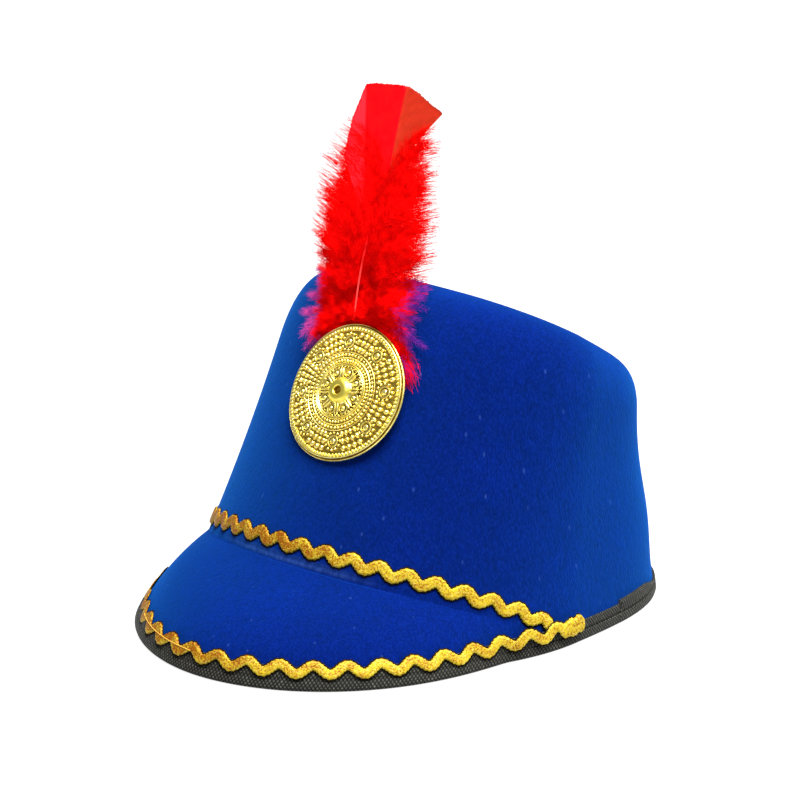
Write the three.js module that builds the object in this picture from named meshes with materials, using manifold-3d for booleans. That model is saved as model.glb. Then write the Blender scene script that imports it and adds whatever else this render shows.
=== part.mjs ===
// Majorette hat: a moulded felt cap with a peak, a tape-bound edge, two runs of
// ric-rac braid, an embossed medallion and one feather behind it.
// Millimetres, +Z up. The peak points along -Y and the wearer's left is +X.

import * as THREE from 'three';
import { mergeVertices } from 'three/addons/utils/BufferGeometryUtils.js';
import Module from 'manifold-3d';

const wasm = await Module();
wasm.setup();

const { sin, cos, abs, sign, min, max, hypot, PI } = Math;
const { clamp, lerp, smoothstep } = THREE.MathUtils;

// ---------------------------------------------------------------- sizes

const GAP = 0.3;
const DEG = PI / 180;

// The hat is drawn about the middle of the head opening; this puts the middle
// of its whole length at the origin.
const FRAME_SHIFT_Y = 14.7;

// Outline of the crown where it meets the table, and of its slanting top edge.
const BASE = { halfWidth: 90.1, halfLength: 93 };
const TOP = {
  halfWidth: 77,
  halfLength: 45.7,
  setBack: 34.7,
  frontHeight: 142.3,
  backHeight: 86,
  dome: 1.5,
};
const ROUNDNESS = { front: 1.9, back: 3.08 };
const WALL_HOLLOW = 2.7;
const SHOULDER = { middle: 18.6, frontExtra: 10.2, drop: 1.4 };

// The peak runs out of the crown at a pressed crease and rolls over at its edge.
const PEAK = {
  reach: 29.9,
  halfAngle: 68.8 * DEG,
  narrowing: 1.24,
  startSlope: 21.5 * DEG,
  endSlope: 65.1 * DEG,
  fullness: 0.38,
};
const FOLD = { height: 33.2, halfAngle: 83.3 * DEG, flatness: 0.735 };
const CREASE = { lowest: 11, drop: 1.6, dropHalfAngle: 60 * DEG };

// Wall of the felt, and the woven tape folded round its edge.
const FELT = 2.2;
const TAPE = {
  thickness: 0.9,
  width: 8.3,
  lowEndWidth: 6.8,
  bottomRound: 0.25,
  lowEndStart: 70 * DEG,
  lapStart: 100 * DEG,
  lapEnd: 121 * DEG,
  lapExtra: 0.7,
};
const RIM_HEIGHT = TAPE.thickness + GAP;

// Ric-rac: a flat braid that waves from side to side of its own middle line.
const BRAID = { width: 4.8, swing: 1.55, thickness: 1.2, stepsPerWave: 12, cupRadius: 60 };
const CROWN_BRAID = { aboveFold: 5.9, halfLength: 132, pitch: 11.55, crest: 7.8 };
const PEAK_BRAID = { fromEdge: 6.7, halfLength: 167.5, pitch: 12.9, crest: 11 };
const ROUTE = { halfAngle: 110 * DEG, steps: 440, lookAhead: 0.5 };
const TAPE_RAMP = { start: 1.7, length: 3 };
const BRAID_CROSSING = { rampStart: 40, rampEnd: 31 };

// The medallion is glued on by its middle and is a little flatter than the crown.
const MEDALLION = {
  radius: 28.1,
  side: 2.5,
  height: 93.7,
  bend: 168,
  seat: 0.8,
  face: 3.5,
  bosses: 8,
};

// Half section of the medallion, from the middle of its back round to the middle of its face.
const MEDALLION_PROFILE = [
  [0, MEDALLION.seat], [28.1, MEDALLION.seat], [28.1, 1.7], [26.2, 1.9], [26.9, 2.4],
  [26.9, 3.1], [26.3, 3.8], [25.1, 3.5], [18.6, 3.5], [17.8, 4],
  [16.8, 3.5], [15.6, 4.1], [14, 3.5], [12.6, 4.2], [11, 3.5],
  [7.4, 3.5], [6.4, 4.1], [4.6, 5.1], [2, 5.9], [0, 5.3],
];
const ROSETTES = { radius: 2.5, height: 0.9, reach: 20.2, turn: -12 * DEG };
const CABOCHONS = { radius: 1.6, height: 0.9, reach: 9.2, turn: 10.5 * DEG };
// Groove in the medallion's back that the quill's root lies in.
const CHANNEL = { width: 2.4, depth: 1.6, extraLength: 4 };

const QUILL = { baseRadius: 0.65, tipRadius: 0.35, hidden: 15, rootRise: 0.05, length: 93.5, sides: 8 };
const QUILL_BOW = { bend: 2.4, bendHeight: 60, lean: 1.6, leanFrom: 40 };
const FEATHER = { lean: 20 * DEG, twist: 20 * DEG, side: -7.6, vaneThickness: 1 };

// How far the down stands out from the quill on each side, and how deep it is.
const DOWN = [
  { height: -3, left: 12, right: 14, depth: 1.5 },
  { height: 4, left: 14, right: 18, depth: 2.4 },
  { height: 10, left: 16.5, right: 21, depth: 4 },
  { height: 20, left: 20.5, right: 23.5, depth: 6 },
  { height: 30, left: 25, right: 24.5, depth: 7.5 },
  { height: 42, left: 27.3, right: 23.2, depth: 8 },
  { height: 54, left: 27.7, right: 20, depth: 7.5 },
  { height: 66, left: 26.5, right: 18.8, depth: 6 },
  { height: 74, left: 22.5, right: 17.6, depth: 4 },
  { height: 83, left: 5, right: 17.6, depth: 1.8 },
];

const DOWN_DEEPEST = max(...DOWN.map(({ depth }) => depth));
// How far the slot for the quill runs past each end of the down.
const SLOT_OVERSHOOT = 6;

// Half outlines of the closed vane, from the quill's tip round to the lower side.
const VANE = { foot: 58.3, top: 95.1 };
const VANE_LEFT = [[-4.4, VANE.top], [-14.5, 93.9], [-18.5, 92.7], [-21, 78.4], [-20.9, 67.4]];
const VANE_RIGHT = [[4.7, 93.4], [10.7, 90.1], [15.3, 88.1], [11.4, 83.8], [5.4, 64.8]];

// ---------------------------------------------------------------- the hat's outer face

/** Point of a rounded oval; angle 0 is the front and +90 degrees the wearer's left. */
function oval(angle, halfWidth, halfLength) {
  const power = 2 / (cos(angle) > 0 ? ROUNDNESS.front : ROUNDNESS.back);
  const x = halfWidth * sign(sin(angle)) * abs(sin(angle)) ** power;
  const y = -halfLength * sign(cos(angle)) * abs(cos(angle)) ** power;
  return new THREE.Vector2(x, y);
}

/** Level direction that points away from the head at an angle. */
function outward(angle) {
  return new THREE.Vector3(BASE.halfLength * sin(angle), -BASE.halfWidth * cos(angle), 0).normalize();
}

const TOP_MIDDLE = (TOP.frontHeight + TOP.backHeight) / 2;
const TOP_TILT = (TOP.frontHeight - TOP.backHeight) / 2;
const TOP_CENTRE = new THREE.Vector3(0, TOP.setBack, TOP_MIDDLE);

/** Height of the crown's top edge, before it is rounded; the top is a flat plane that slants back. */
function topHeight(angle) {
  return TOP_MIDDLE - TOP_TILT * oval(angle, TOP.halfWidth, TOP.halfLength).y / TOP.halfLength;
}

/** Point of the crown's wall at a height above the table. */
function wallPoint(angle, height) {
  const low = oval(angle, BASE.halfWidth, BASE.halfLength);
  const high = oval(angle, TOP.halfWidth, TOP.halfLength);
  const climb = clamp(height / topHeight(angle), 0, 1);
  const pull = -WALL_HOLLOW * 4 * climb * (1 - climb);
  const x = lerp(low.x, high.x, climb);
  const y = lerp(low.y, high.y + TOP.setBack, climb);
  return new THREE.Vector3(x, y, climb * topHeight(angle)).addScaledVector(outward(angle), pull);
}

/** Share of a swell that is full at the front and gone at a given half angle. */
function frontShare(angle, halfAngle, power) {
  return cos(PI / 2 * min(abs(angle) / halfAngle, 1)) ** power;
}

/** Height at which the crown starts to turn into the peak; the upper braid follows this line. */
function foldHeight(angle) {
  return FOLD.height * frontShare(angle, FOLD.halfAngle, FOLD.flatness);
}

/** Height of the pressed crease, a little below the fold, which fades into a low band at the back. */
function creaseHeight(angle) {
  const drop = CREASE.drop * frontShare(angle, CREASE.dropHalfAngle, 1);
  return (foldHeight(angle) ** 4 + CREASE.lowest ** 4) ** 0.25 - drop;
}

/** Point of a cubic Bezier curve. */
function bezier(points, t) {
  return new THREE.CubicBezierCurve3(...points).getPoint(t);
}

/** Point of the peak, or of the low band that carries on from it; t runs from edge to crease. */
function peakPoint(angle, t) {
  const away = outward(angle);
  const reach = PEAK.reach * frontShare(angle, PEAK.halfAngle, PEAK.narrowing);
  const crease = wallPoint(angle, creaseHeight(angle));
  const edge = wallPoint(angle, RIM_HEIGHT).addScaledVector(away, reach);
  const span = crease.distanceTo(edge);
  const straight = edge.clone().sub(crease).normalize();
  const share = (reach / PEAK.reach) ** 0.5;
  const slope = (tilt) => away.clone().multiplyScalar(cos(tilt)).setZ(-sin(tilt)).lerp(straight, 1 - share);
  const start = crease.clone().addScaledVector(slope(PEAK.startSlope), PEAK.fullness * span);
  const end = edge.clone().addScaledVector(slope(PEAK.endSlope), -PEAK.fullness * span);
  return bezier([edge, end, start, crease], t);
}

/** Point of the rounded shoulder; t runs from the wall to the top. */
function shoulderPoint(angle, t) {
  const round = SHOULDER.middle + SHOULDER.frontExtra * cos(angle);
  const rim = oval(angle, TOP.halfWidth, TOP.halfLength);
  const corner = new THREE.Vector3(rim.x, rim.y + TOP.setBack, topHeight(angle));
  const foot = wallPoint(angle, topHeight(angle) - SHOULDER.drop * round);
  const inner = TOP_CENTRE.clone().sub(corner).setLength(round).add(corner);
  return new THREE.QuadraticBezierCurve3(foot, corner, inner).getPoint(t);
}

// Where, on a scale from 0 at the edge to 1 at the crown's middle, each stretch ends.
const CREASE_AT = 0.4;
const SHOULDER_AT = 0.7;
const TOP_AT = 0.9;

/** Point of the hat's outer face. */
function facePoint(angle, t) {
  if (t <= CREASE_AT) {
    return peakPoint(angle, max(t, 0) / CREASE_AT);
  }
  if (t <= SHOULDER_AT) {
    const round = SHOULDER.middle + SHOULDER.frontExtra * cos(angle);
    const high = topHeight(angle) - SHOULDER.drop * round;
    return wallPoint(angle, lerp(creaseHeight(angle), high, (t - CREASE_AT) / (SHOULDER_AT - CREASE_AT)));
  }
  if (t <= TOP_AT) {
    return shoulderPoint(angle, (t - SHOULDER_AT) / (TOP_AT - SHOULDER_AT));
  }
  const inward = min((t - TOP_AT) / (1 - TOP_AT), 1);
  const point = shoulderPoint(angle, 1).lerp(TOP_CENTRE, inward);
  point.z += TOP.dome * (1 - (1 - inward) ** 2);
  return point;
}

/** Outward normal of the hat's face; at the very edge it lies level. */
function faceNormal(angle, t) {
  const step = 1e-3;
  const place = clamp(t, step, 1 - 2 * step);
  const along = facePoint(angle + step, place).sub(facePoint(angle - step, place));
  const up = facePoint(angle, place + step).sub(facePoint(angle, place - step));
  const normal = along.cross(up).normalize();
  const level = smoothstep(t, 0, CREASE_AT * 0.1);
  normal.z *= level;
  return normal.normalize();
}

/** Point at a distance outside the face, or inside it where the distance is negative. */
function offsetPoint(angle, t, distance) {
  return facePoint(angle, t).addScaledVector(faceNormal(angle, t), distance);
}

/** Place on the 0 to 1 scale that lies a given distance up the face from the edge. */
function placeFromEdge(angle, distance) {
  const step = 0.004;
  let place = 0;
  let walked = 0;
  let last = facePoint(angle, 0);
  while (place < 1) {
    const next = facePoint(angle, place + step);
    const length = next.distanceTo(last);
    if (walked + length >= distance) {
      return place + step * (distance - walked) / length;
    }
    walked += length;
    place += step;
    last = next;
  }
  return 1;
}

// ---------------------------------------------------------------- solids

/** Volume inside a closed geometry, negative where its triangles face inwards. */
function signedVolume(geometry) {
  const { position } = geometry.attributes;
  const index = geometry.index.array;
  const corner = (i) => new THREE.Vector3().fromBufferAttribute(position, index[i]);
  let volume = 0;
  for (let i = 0; i < index.length; i += 3) {
    volume += corner(i).dot(corner(i + 1).cross(corner(i + 2))) / 6;
  }
  return volume;
}

/** Weld a closed geometry's points, drop triangles folded to nothing and face the rest outwards. */
function weld(geometry) {
  geometry.deleteAttribute('normal');
  geometry.deleteAttribute('uv');
  const welded = mergeVertices(geometry, 1e-4);
  const index = welded.index.array;
  const kept = [];
  for (let i = 0; i < index.length; i += 3) {
    const [a, b, c] = [index[i], index[i + 1], index[i + 2]];
    if (a !== b && b !== c && a !== c) {
      kept.push([a, b, c]);
    }
  }
  welded.setIndex(kept.flat());
  if (signedVolume(welded) < 0) {
    welded.setIndex(kept.map(([a, b, c]) => [a, c, b]).flat());
  }
  return welded;
}

/** Solid that joins outlines of equal point count, as a closed ring or with flat ends. */
function loft(outlines, ring = false) {
  const count = outlines[0].length;
  const points = outlines.flat();
  const index = [];
  const joins = ring ? outlines.length : outlines.length - 1;
  for (let i = 0; i < joins; i += 1) {
    const here = i * count;
    const there = ((i + 1) % outlines.length) * count;
    for (let j = 0; j < count; j += 1) {
      const next = (j + 1) % count;
      index.push(here + j, there + j, there + next, here + j, there + next, here + next);
    }
  }
  if (!ring) {
    const last = (outlines.length - 1) * count;
    for (let j = 1; j < count - 1; j += 1) {
      index.push(0, j, j + 1, last, last + j + 1, last + j);
    }
  }
  const geometry = new THREE.BufferGeometry().setFromPoints(points);
  geometry.setIndex(index);
  return weld(geometry);
}

/** Manifold solid of a closed geometry. */
function toSolid(geometry) {
  const welded = weld(geometry.clone());
  const vertProperties = new Float32Array(welded.attributes.position.array);
  const triVerts = new Uint32Array(welded.index.array);
  return new wasm.Manifold(new wasm.Mesh({ numProp: 3, vertProperties, triVerts }));
}

/** Geometry of a manifold solid. */
function fromSolid(solid) {
  const mesh = solid.getMesh();
  const geometry = new THREE.BufferGeometry();
  geometry.setAttribute('position', new THREE.BufferAttribute(mesh.vertProperties, 3));
  geometry.setIndex(new THREE.BufferAttribute(mesh.triVerts, 1));
  return geometry;
}

/** Evenly spaced numbers from one value to another. */
function spread(from, to, steps) {
  return Array.from({ length: steps + 1 }, (_, i) => lerp(from, to, i / steps));
}

// ---------------------------------------------------------------- felt body and bound edge

const COLUMNS = 72;
const columnAngles = spread(-PI, PI, COLUMNS).slice(0, COLUMNS);

/** Width of the tape up the face at an angle; the end that goes under the lap sits a little lower. */
function tapeWidth(angle) {
  const low = angle < TAPE.lapStart ? smoothstep(angle, TAPE.lowEndStart, TAPE.lapStart) : 0;
  return lerp(TAPE.width, TAPE.lowEndWidth, low);
}

/** Places up the tape at an angle, from the edge; the felt under it has points at the same places. */
function tapePlaces(angle) {
  return spread(0, tapeWidth(angle), 3).map((distance) => placeFromEdge(angle, distance));
}

/** Places of a column of points, from the edge to the crown's middle. */
function columnPlaces(angle) {
  const tape = tapePlaces(angle);
  return [
    ...tape,
    ...spread(tape[tape.length - 1], CREASE_AT, 5).slice(1),
    ...spread(CREASE_AT, SHOULDER_AT, 5).slice(1),
    ...spread(SHOULDER_AT, TOP_AT, 5).slice(1),
    ...spread(TOP_AT, 1, 2).slice(1),
  ];
}

/** Points up the hat at an angle, at a distance from its face, that meet over the crown's middle. */
function column(angle, distance) {
  const points = columnPlaces(angle).map((t) => offsetPoint(angle, t, distance));
  points[points.length - 1].set(0, TOP_CENTRE.y, TOP_CENTRE.z + TOP.dome + distance);
  return points;
}

/** Felt cap: crown and peak in one moulded wall, open underneath. */
function feltBody() {
  const section = (angle) => [...column(angle, 0), ...column(angle, -FELT).reverse()];
  return loft(columnAngles.map(section), true);
}

/** All that the hat fills or covers, with a gap round it. */
function hatSpace() {
  const section = (angle) => [...column(angle, GAP), new THREE.Vector3()];
  return loft(columnAngles.map(section), true);
}

/** Woven tape folded round the whole edge, its two ends lapped behind the wearer's left ear. */
function edgeBinding() {
  const section = (angle) => {
    const lapped = angle > TAPE.lapStart && angle < TAPE.lapEnd;
    const outside = GAP + TAPE.thickness + (lapped ? TAPE.lapExtra : 0);
    const inside = -(FELT + GAP + TAPE.thickness);
    const up = tapePlaces(angle);
    const places = [...up].reverse();
    const layer = (row, distance) => row.map((t) => offsetPoint(angle, t, distance));
    const low = (distance, height) => offsetPoint(angle, 0, distance).setZ(height);
    return [
      ...layer(places, outside),
      low(outside, TAPE.bottomRound),
      low(outside - TAPE.bottomRound, 0),
      low(inside + TAPE.bottomRound, 0),
      low(inside, TAPE.bottomRound),
      ...layer(up, inside),
      ...layer(places, -(FELT + GAP)),
      low(-(FELT + GAP), TAPE.thickness),
      low(GAP, TAPE.thickness),
      ...layer(up, GAP),
    ];
  };
  return loft(columnAngles.map(section), true);
}

// ---------------------------------------------------------------- ric-rac braid

/** Centre line of a braid along the face, measured from the front towards the wearer's left. */
function braidRoute(placeAt) {
  const stations = spread(-ROUTE.halfAngle, ROUTE.halfAngle, ROUTE.steps).map((angle) => ({
    angle,
    point: facePoint(angle, placeAt(angle)),
  }));
  let length = 0;
  stations.forEach((station, i) => {
    length += i ? station.point.distanceTo(stations[i - 1].point) : 0;
    station.length = length;
  });
  const middle = stations[ROUTE.steps / 2].length;
  return (distance) => {
    const target = distance + middle;
    const i = clamp(stations.findIndex((station) => station.length > target), 1, stations.length - 1);
    const [before, after] = [stations[i - 1], stations[i]];
    const share = (target - before.length) / (after.length - before.length);
    return lerp(before.angle, after.angle, share);
  };
}

/** Height of a braid's underside over the felt: low on the bare felt and high enough over the tape. */
function tapeClearance(fromEdge) {
  const rampStart = TAPE.width + TAPE_RAMP.start;
  const onTape = 1 - smoothstep(fromEdge, rampStart, rampStart + TAPE_RAMP.length);
  return 1.5 * GAP + (TAPE.thickness + GAP) * onTape;
}

/** One run of ric-rac: a flat band that waves along its route, lifted where it crosses another. */
function ricRac(run, placeAt, lift) {
  const angleAt = braidRoute(placeAt);
  const turn = (s) => 2 * PI * (s - run.crest) / run.pitch;
  const wave = (s) => BRAID.swing * cos(turn(s));
  const waveSlope = (s) => -BRAID.swing * sin(turn(s)) * 2 * PI / run.pitch;
  const onFace = (s, across) => {
    const angle = angleAt(s);
    const place = placeAt(angle);
    const point = facePoint(angle, place);
    const ahead = angleAt(s + ROUTE.lookAhead);
    const along = facePoint(ahead, placeAt(ahead)).sub(point).normalize();
    const normal = faceNormal(angle, place);
    const up = normal.clone().cross(along).normalize();
    const sag = across * across / (2 * BRAID.cupRadius);
    point.addScaledVector(up, across).addScaledVector(normal, -sag);
    return { point, normal, angle };
  };
  const steps = Math.round(2 * run.halfLength / run.pitch * BRAID.stepsPerWave);
  const section = (s) => {
    const slope = waveSlope(s);
    const stretch = hypot(1, slope);
    const corner = (side) => {
      const spot = onFace(s - side * slope / stretch, wave(s) + side / stretch);
      const rise = lift(s, spot);
      return [rise, rise + BRAID.thickness].map((h) => spot.point.clone().addScaledVector(spot.normal, h));
    };
    const [lowInner, lowOuter] = corner(-BRAID.width / 2);
    const [highInner, highOuter] = corner(BRAID.width / 2);
    return [lowInner, lowOuter, highOuter, highInner];
  };
  return loft(spread(-run.halfLength, run.halfLength, steps).map(section));
}

/** Distance of a point from the hat's edge at its angle, measured straight. */
function edgeDistance(spot) {
  return spot.point.distanceTo(facePoint(spot.angle, 0));
}

/** Upper run, just above the crease. */
function crownBraid() {
  const placeAt = (angle) => {
    const height = foldHeight(angle) + CROWN_BRAID.aboveFold;
    let [low, high] = [0, SHOULDER_AT];
    for (let i = 0; i < 30; i += 1) {
      const middle = (low + high) / 2;
      [low, high] = facePoint(angle, middle).z < height ? [middle, high] : [low, middle];
    }
    return max(low, placeFromEdge(angle, PEAK_BRAID.fromEdge));
  };
  return ricRac(CROWN_BRAID, placeAt, (s, spot) => tapeClearance(edgeDistance(spot)));
}

/** Lower run, along the top edge of the tape on the peak; its ends lie over the upper run's. */
function peakBraid() {
  const placeAt = (angle) => placeFromEdge(angle, PEAK_BRAID.fromEdge);
  const lift = (s, spot) => {
    const left = PEAK_BRAID.halfLength - abs(s);
    const over = 1 - smoothstep(left, BRAID_CROSSING.rampEnd, BRAID_CROSSING.rampStart);
    return tapeClearance(edgeDistance(spot)) + over * (BRAID.thickness + 3 * GAP);
  };
  return ricRac(PEAK_BRAID, placeAt, lift);
}

// ---------------------------------------------------------------- medallion

/** Height and lean of the crown's front, where the medallion and the feather sit. */
const seatPoint = wallPoint(0, MEDALLION.height).setX(MEDALLION.side);
const seatUp = wallPoint(0, MEDALLION.height + 5).sub(wallPoint(0, MEDALLION.height - 5)).normalize();
const seatOut = new THREE.Vector3(1, 0, 0).cross(seatUp);
const seatTurn = new THREE.Matrix4().makeBasis(new THREE.Vector3(1, 0, 0), seatUp, seatOut);

/** Raised bosses of the embossing, evenly spaced round a ring. */
function bossRing({ radius, height, reach, turn }) {
  return spread(0, 2 * PI, MEDALLION.bosses).slice(1).map((angle) => {
    const bead = new THREE.SphereGeometry(radius, 12, 8).scale(1, 1, height / radius);
    bead.translate(reach * sin(angle + turn), reach * cos(angle + turn), MEDALLION.face);
    return toSolid(bead);
  });
}

/** Thin moulded disc with a stepped rim, rings and bosses, bent to the crown. */
function medallionDisc() {
  const profile = MEDALLION_PROFILE.map(([reach, height]) => new THREE.Vector2(reach, height));
  const plain = toSolid(new THREE.LatheGeometry(profile, 64).rotateX(PI / 2));
  const bosses = [...bossRing(ROSETTES), ...bossRing(CABOCHONS)];
  const disc = bosses.reduce((solid, bead) => solid.add(bead), plain);
  const channelLength = QUILL.hidden + CHANNEL.extraLength;
  const channel = new THREE.BoxGeometry(CHANNEL.width, channelLength, 2 * CHANNEL.depth);
  channel.translate(FEATHER.side, MEDALLION.radius - channelLength / 2, MEDALLION.seat);
  const geometry = fromSolid(disc.subtract(toSolid(channel)));
  const { position } = geometry.attributes;
  for (let i = 0; i < position.count; i += 1) {
    const turn = position.getX(i) / MEDALLION.bend;
    const reach = MEDALLION.bend + position.getZ(i);
    position.setXYZ(i, reach * sin(turn), position.getY(i), reach * cos(turn) - MEDALLION.bend);
  }
  return geometry;
}

// ---------------------------------------------------------------- feather

/** The feather's own frame: x across the vane, y up the quill, z out of its face. */
const featherTurn = new THREE.Matrix4()
  .makeRotationX(PI / 2 - FEATHER.lean)
  .multiply(new THREE.Matrix4().makeRotationY(FEATHER.twist));
const featherFoot = new THREE.Vector3(FEATHER.side, MEDALLION.radius, 0.2)
  .applyMatrix4(seatTurn)
  .add(seatPoint);

/** Sideways bow of the quill at a height: one bend within the down and a slight lean at the tip. */
function quillBow(height) {
  const bend = sin(PI * clamp(height / QUILL_BOW.bendHeight, 0, 1));
  return -QUILL_BOW.bend * bend - QUILL_BOW.lean * smoothstep(height, QUILL_BOW.leanFrom, QUILL.length);
}

/** Radius of the quill at a height above the medallion. */
function quillRadius(height) {
  return lerp(QUILL.baseRadius, QUILL.tipRadius, clamp(height / QUILL.length, 0, 1));
}

/** Tapered shaft, from behind the medallion to the cut tip. */
function featherQuill() {
  const toFeather = featherTurn.clone().invert();
  const rootLine = seatUp.clone().addScaledVector(seatOut, -QUILL.rootRise).applyMatrix4(toFeather);
  const centre = (height) => (
    height < 0 ? rootLine.clone().multiplyScalar(height) : new THREE.Vector3(quillBow(height), height, 0)
  );
  const heights = [...spread(-QUILL.hidden, 0, 3), ...spread(0, QUILL.length, 18).slice(1)];
  const section = (height) => levelRing(QUILL.sides, (turn) => {
    const radius = quillRadius(height);
    return centre(height).add(new THREE.Vector3(radius * cos(turn), 0, radius * sin(turn)));
  });
  return loft(heights.map(section));
}

/** Flat plate with a given outline, its thickness shared between both sides of the drawing plane. */
function plate(outline, depth) {
  const shape = new THREE.Shape(outline.map(([x, y]) => new THREE.Vector2(x, y)));
  return new THREE.ExtrudeGeometry(shape, { depth, bevelEnabled: false }).translate(0, 0, -depth / 2);
}

/** Level ring of points round the y axis of a frame. */
function levelRing(count, place) {
  return spread(0, 2 * PI, count).slice(0, count).map(place);
}

/** One half of the closed vane: a thin plate from the quill outwards. */
function featherVane(outline, side) {
  const besideQuill = (height) => [quillBow(height) + side * (quillRadius(height) + 1.5 * GAP), height];
  const quillEdge = spread(VANE.foot + 2, VANE.top - 2, 4).map(besideQuill);
  return weld(plate([...quillEdge, ...outline], FEATHER.vaneThickness));
}

/** Outer form of the soft down that stands out from the lower quill, open where the vane starts. */
function featherDown() {
  const section = ({ height, left, right, depth }) => levelRing(28, (turn) => (
    new THREE.Vector3((right - left + (right + left) * cos(turn)) / 2, height, depth * sin(turn))
  ));
  const form = toSolid(loft(DOWN.map(section)));

  const foot = [quillBow(VANE.foot), VANE.foot - 5 * GAP];
  const widen = ([x, y]) => [x + sign(x) * 2 * GAP, y - 2 * GAP];
  const vaneOutline = [foot, ...VANE_RIGHT.toReversed().map(widen), ...VANE_LEFT.map(widen)];
  const notch = plate(vaneOutline, 2 * DOWN_DEEPEST + 2);

  const slotRadius = QUILL.baseRadius + GAP;
  const slotSection = (height) => levelRing(QUILL.sides, (turn) => (
    new THREE.Vector3(quillBow(height) + slotRadius * cos(turn), height, slotRadius * sin(turn))
  ));
  const slot = loft(spread(-SLOT_OVERSHOOT, VANE.foot + SLOT_OVERSHOOT, 16).map(slotSection));

  const toFeather = new THREE.Matrix4().copy(featherTurn).setPosition(featherFoot).invert();
  const toSeat = new THREE.Matrix4().copy(seatTurn).setPosition(seatPoint);
  const discRadius = MEDALLION.radius + GAP;
  const disc = new THREE.CylinderGeometry(discRadius, discRadius, 2 * MEDALLION.face + 2, 48);
  const taken = [
    notch,
    slot,
    hatSpace().applyMatrix4(toFeather),
    disc.rotateX(PI / 2).applyMatrix4(toFeather.clone().multiply(toSeat)),
  ];
  return fromSolid(taken.reduce((solid, piece) => solid.subtract(toSolid(piece)), form));
}

// ---------------------------------------------------------------- assembly

const hat = new THREE.Group();
hat.position.y = FRAME_SHIFT_Y;

/** Material of one real stuff. */
function finish(color, roughness, metalness = 0) {
  return new THREE.MeshStandardMaterial({ color, roughness, metalness });
}

const blueFelt = finish(0x0b3399, 0.95);
const blackTape = finish(0x2c2d2a, 0.85);
const goldBraid = finish(0xd9a520, 0.45, 0.5);
const goldPlate = finish(0xdcbe46, 0.22, 1);
const redVane = finish(0xd8101a, 0.6);
const redDown = finish(0xf0141e, 0.9);
const paleQuill = finish(0xd88a80, 0.5);

/** Add a named piece to the hat, or to a group within it. */
function add(name, geometry, material, parent = hat) {
  const mesh = new THREE.Mesh(geometry, material);
  mesh.name = name;
  parent.add(mesh);
}

const medallionSeat = new THREE.Group();
medallionSeat.position.copy(seatPoint);
medallionSeat.quaternion.setFromRotationMatrix(seatTurn);
const feather = new THREE.Group();
feather.position.copy(featherFoot);
feather.quaternion.setFromRotationMatrix(featherTurn);
hat.add(medallionSeat, feather);

add('felt_body', feltBody(), blueFelt);
add('edge_binding', edgeBinding(), blackTape);
add('crown_braid', crownBraid(), goldBraid);
add('peak_braid', peakBraid(), goldBraid);
add('medallion', medallionDisc(), goldPlate, medallionSeat);
add('feather_quill', featherQuill(), paleQuill, feather);
add('feather_vane_left', featherVane(VANE_LEFT, -1), redVane, feather);
add('feather_vane_right', featherVane(VANE_RIGHT, 1), redVane, feather);
add('feather_down', featherDown(), redDown, feather);

export default hat;
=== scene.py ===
"""Majorette hat: the visible surfaces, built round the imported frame.

A moulded felt cap with a peak, a woven tape round its edge, two runs of gold
ric-rac, an embossed medallion and one dyed feather. Sizes are in millimetres
and become metres where a mesh is made. The peak points along -Y, and +X is the
wearer's left.
"""

from __future__ import annotations

import logging
import math
from dataclasses import dataclass, field, replace
from enum import Enum
from typing import Callable, Mapping, Protocol, Sequence

import bpy
import numpy as np
from mathutils import Matrix, Vector


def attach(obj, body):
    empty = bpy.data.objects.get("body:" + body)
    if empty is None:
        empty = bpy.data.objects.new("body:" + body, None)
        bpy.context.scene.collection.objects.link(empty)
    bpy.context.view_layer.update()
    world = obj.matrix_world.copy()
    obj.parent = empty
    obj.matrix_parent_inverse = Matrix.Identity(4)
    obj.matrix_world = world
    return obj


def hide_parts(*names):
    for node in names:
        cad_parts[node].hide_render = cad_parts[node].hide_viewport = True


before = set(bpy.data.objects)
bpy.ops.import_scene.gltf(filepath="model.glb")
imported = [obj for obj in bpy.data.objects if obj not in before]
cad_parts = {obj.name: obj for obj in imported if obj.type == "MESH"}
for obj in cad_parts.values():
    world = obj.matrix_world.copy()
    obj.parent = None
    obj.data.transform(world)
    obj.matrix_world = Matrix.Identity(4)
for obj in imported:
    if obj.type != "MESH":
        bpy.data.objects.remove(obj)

LOG = logging.getLogger("majorette_hat")
MM = 0.001
BODY = "root"

Array = np.ndarray
Piece = bpy.types.Object
Tree = bpy.types.NodeTree
Node = bpy.types.Node
Socket = bpy.types.NodeSocket
Colour = tuple[float, float, float, float]
Pair = tuple[float, float]
Table = tuple[Pair, ...]
Limits = tuple[float, float, float, float]

# Sockets whose names are not their own: the limits of a Map Range node, which are from
# low, from high, to low and to high, and the factor and both colours of a Mix node.
FROM_TO = (1, 2, 3, 4)
BLEND = (0, 6, 7)


# ---------------------------------------------------------------- small tools


def srgb(hex_code: str) -> Colour:
    """Turn an sRGB colour into the linear one that shaders take."""
    digits = hex_code.lstrip("#")
    channels = [int(digits[i : i + 2], 16) / 255 for i in (0, 2, 4)]
    linear = [c / 12.92 if c <= 0.04045 else ((c + 0.055) / 1.055) ** 2.4 for c in channels]
    return (linear[0], linear[1], linear[2], 1.0)


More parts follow.
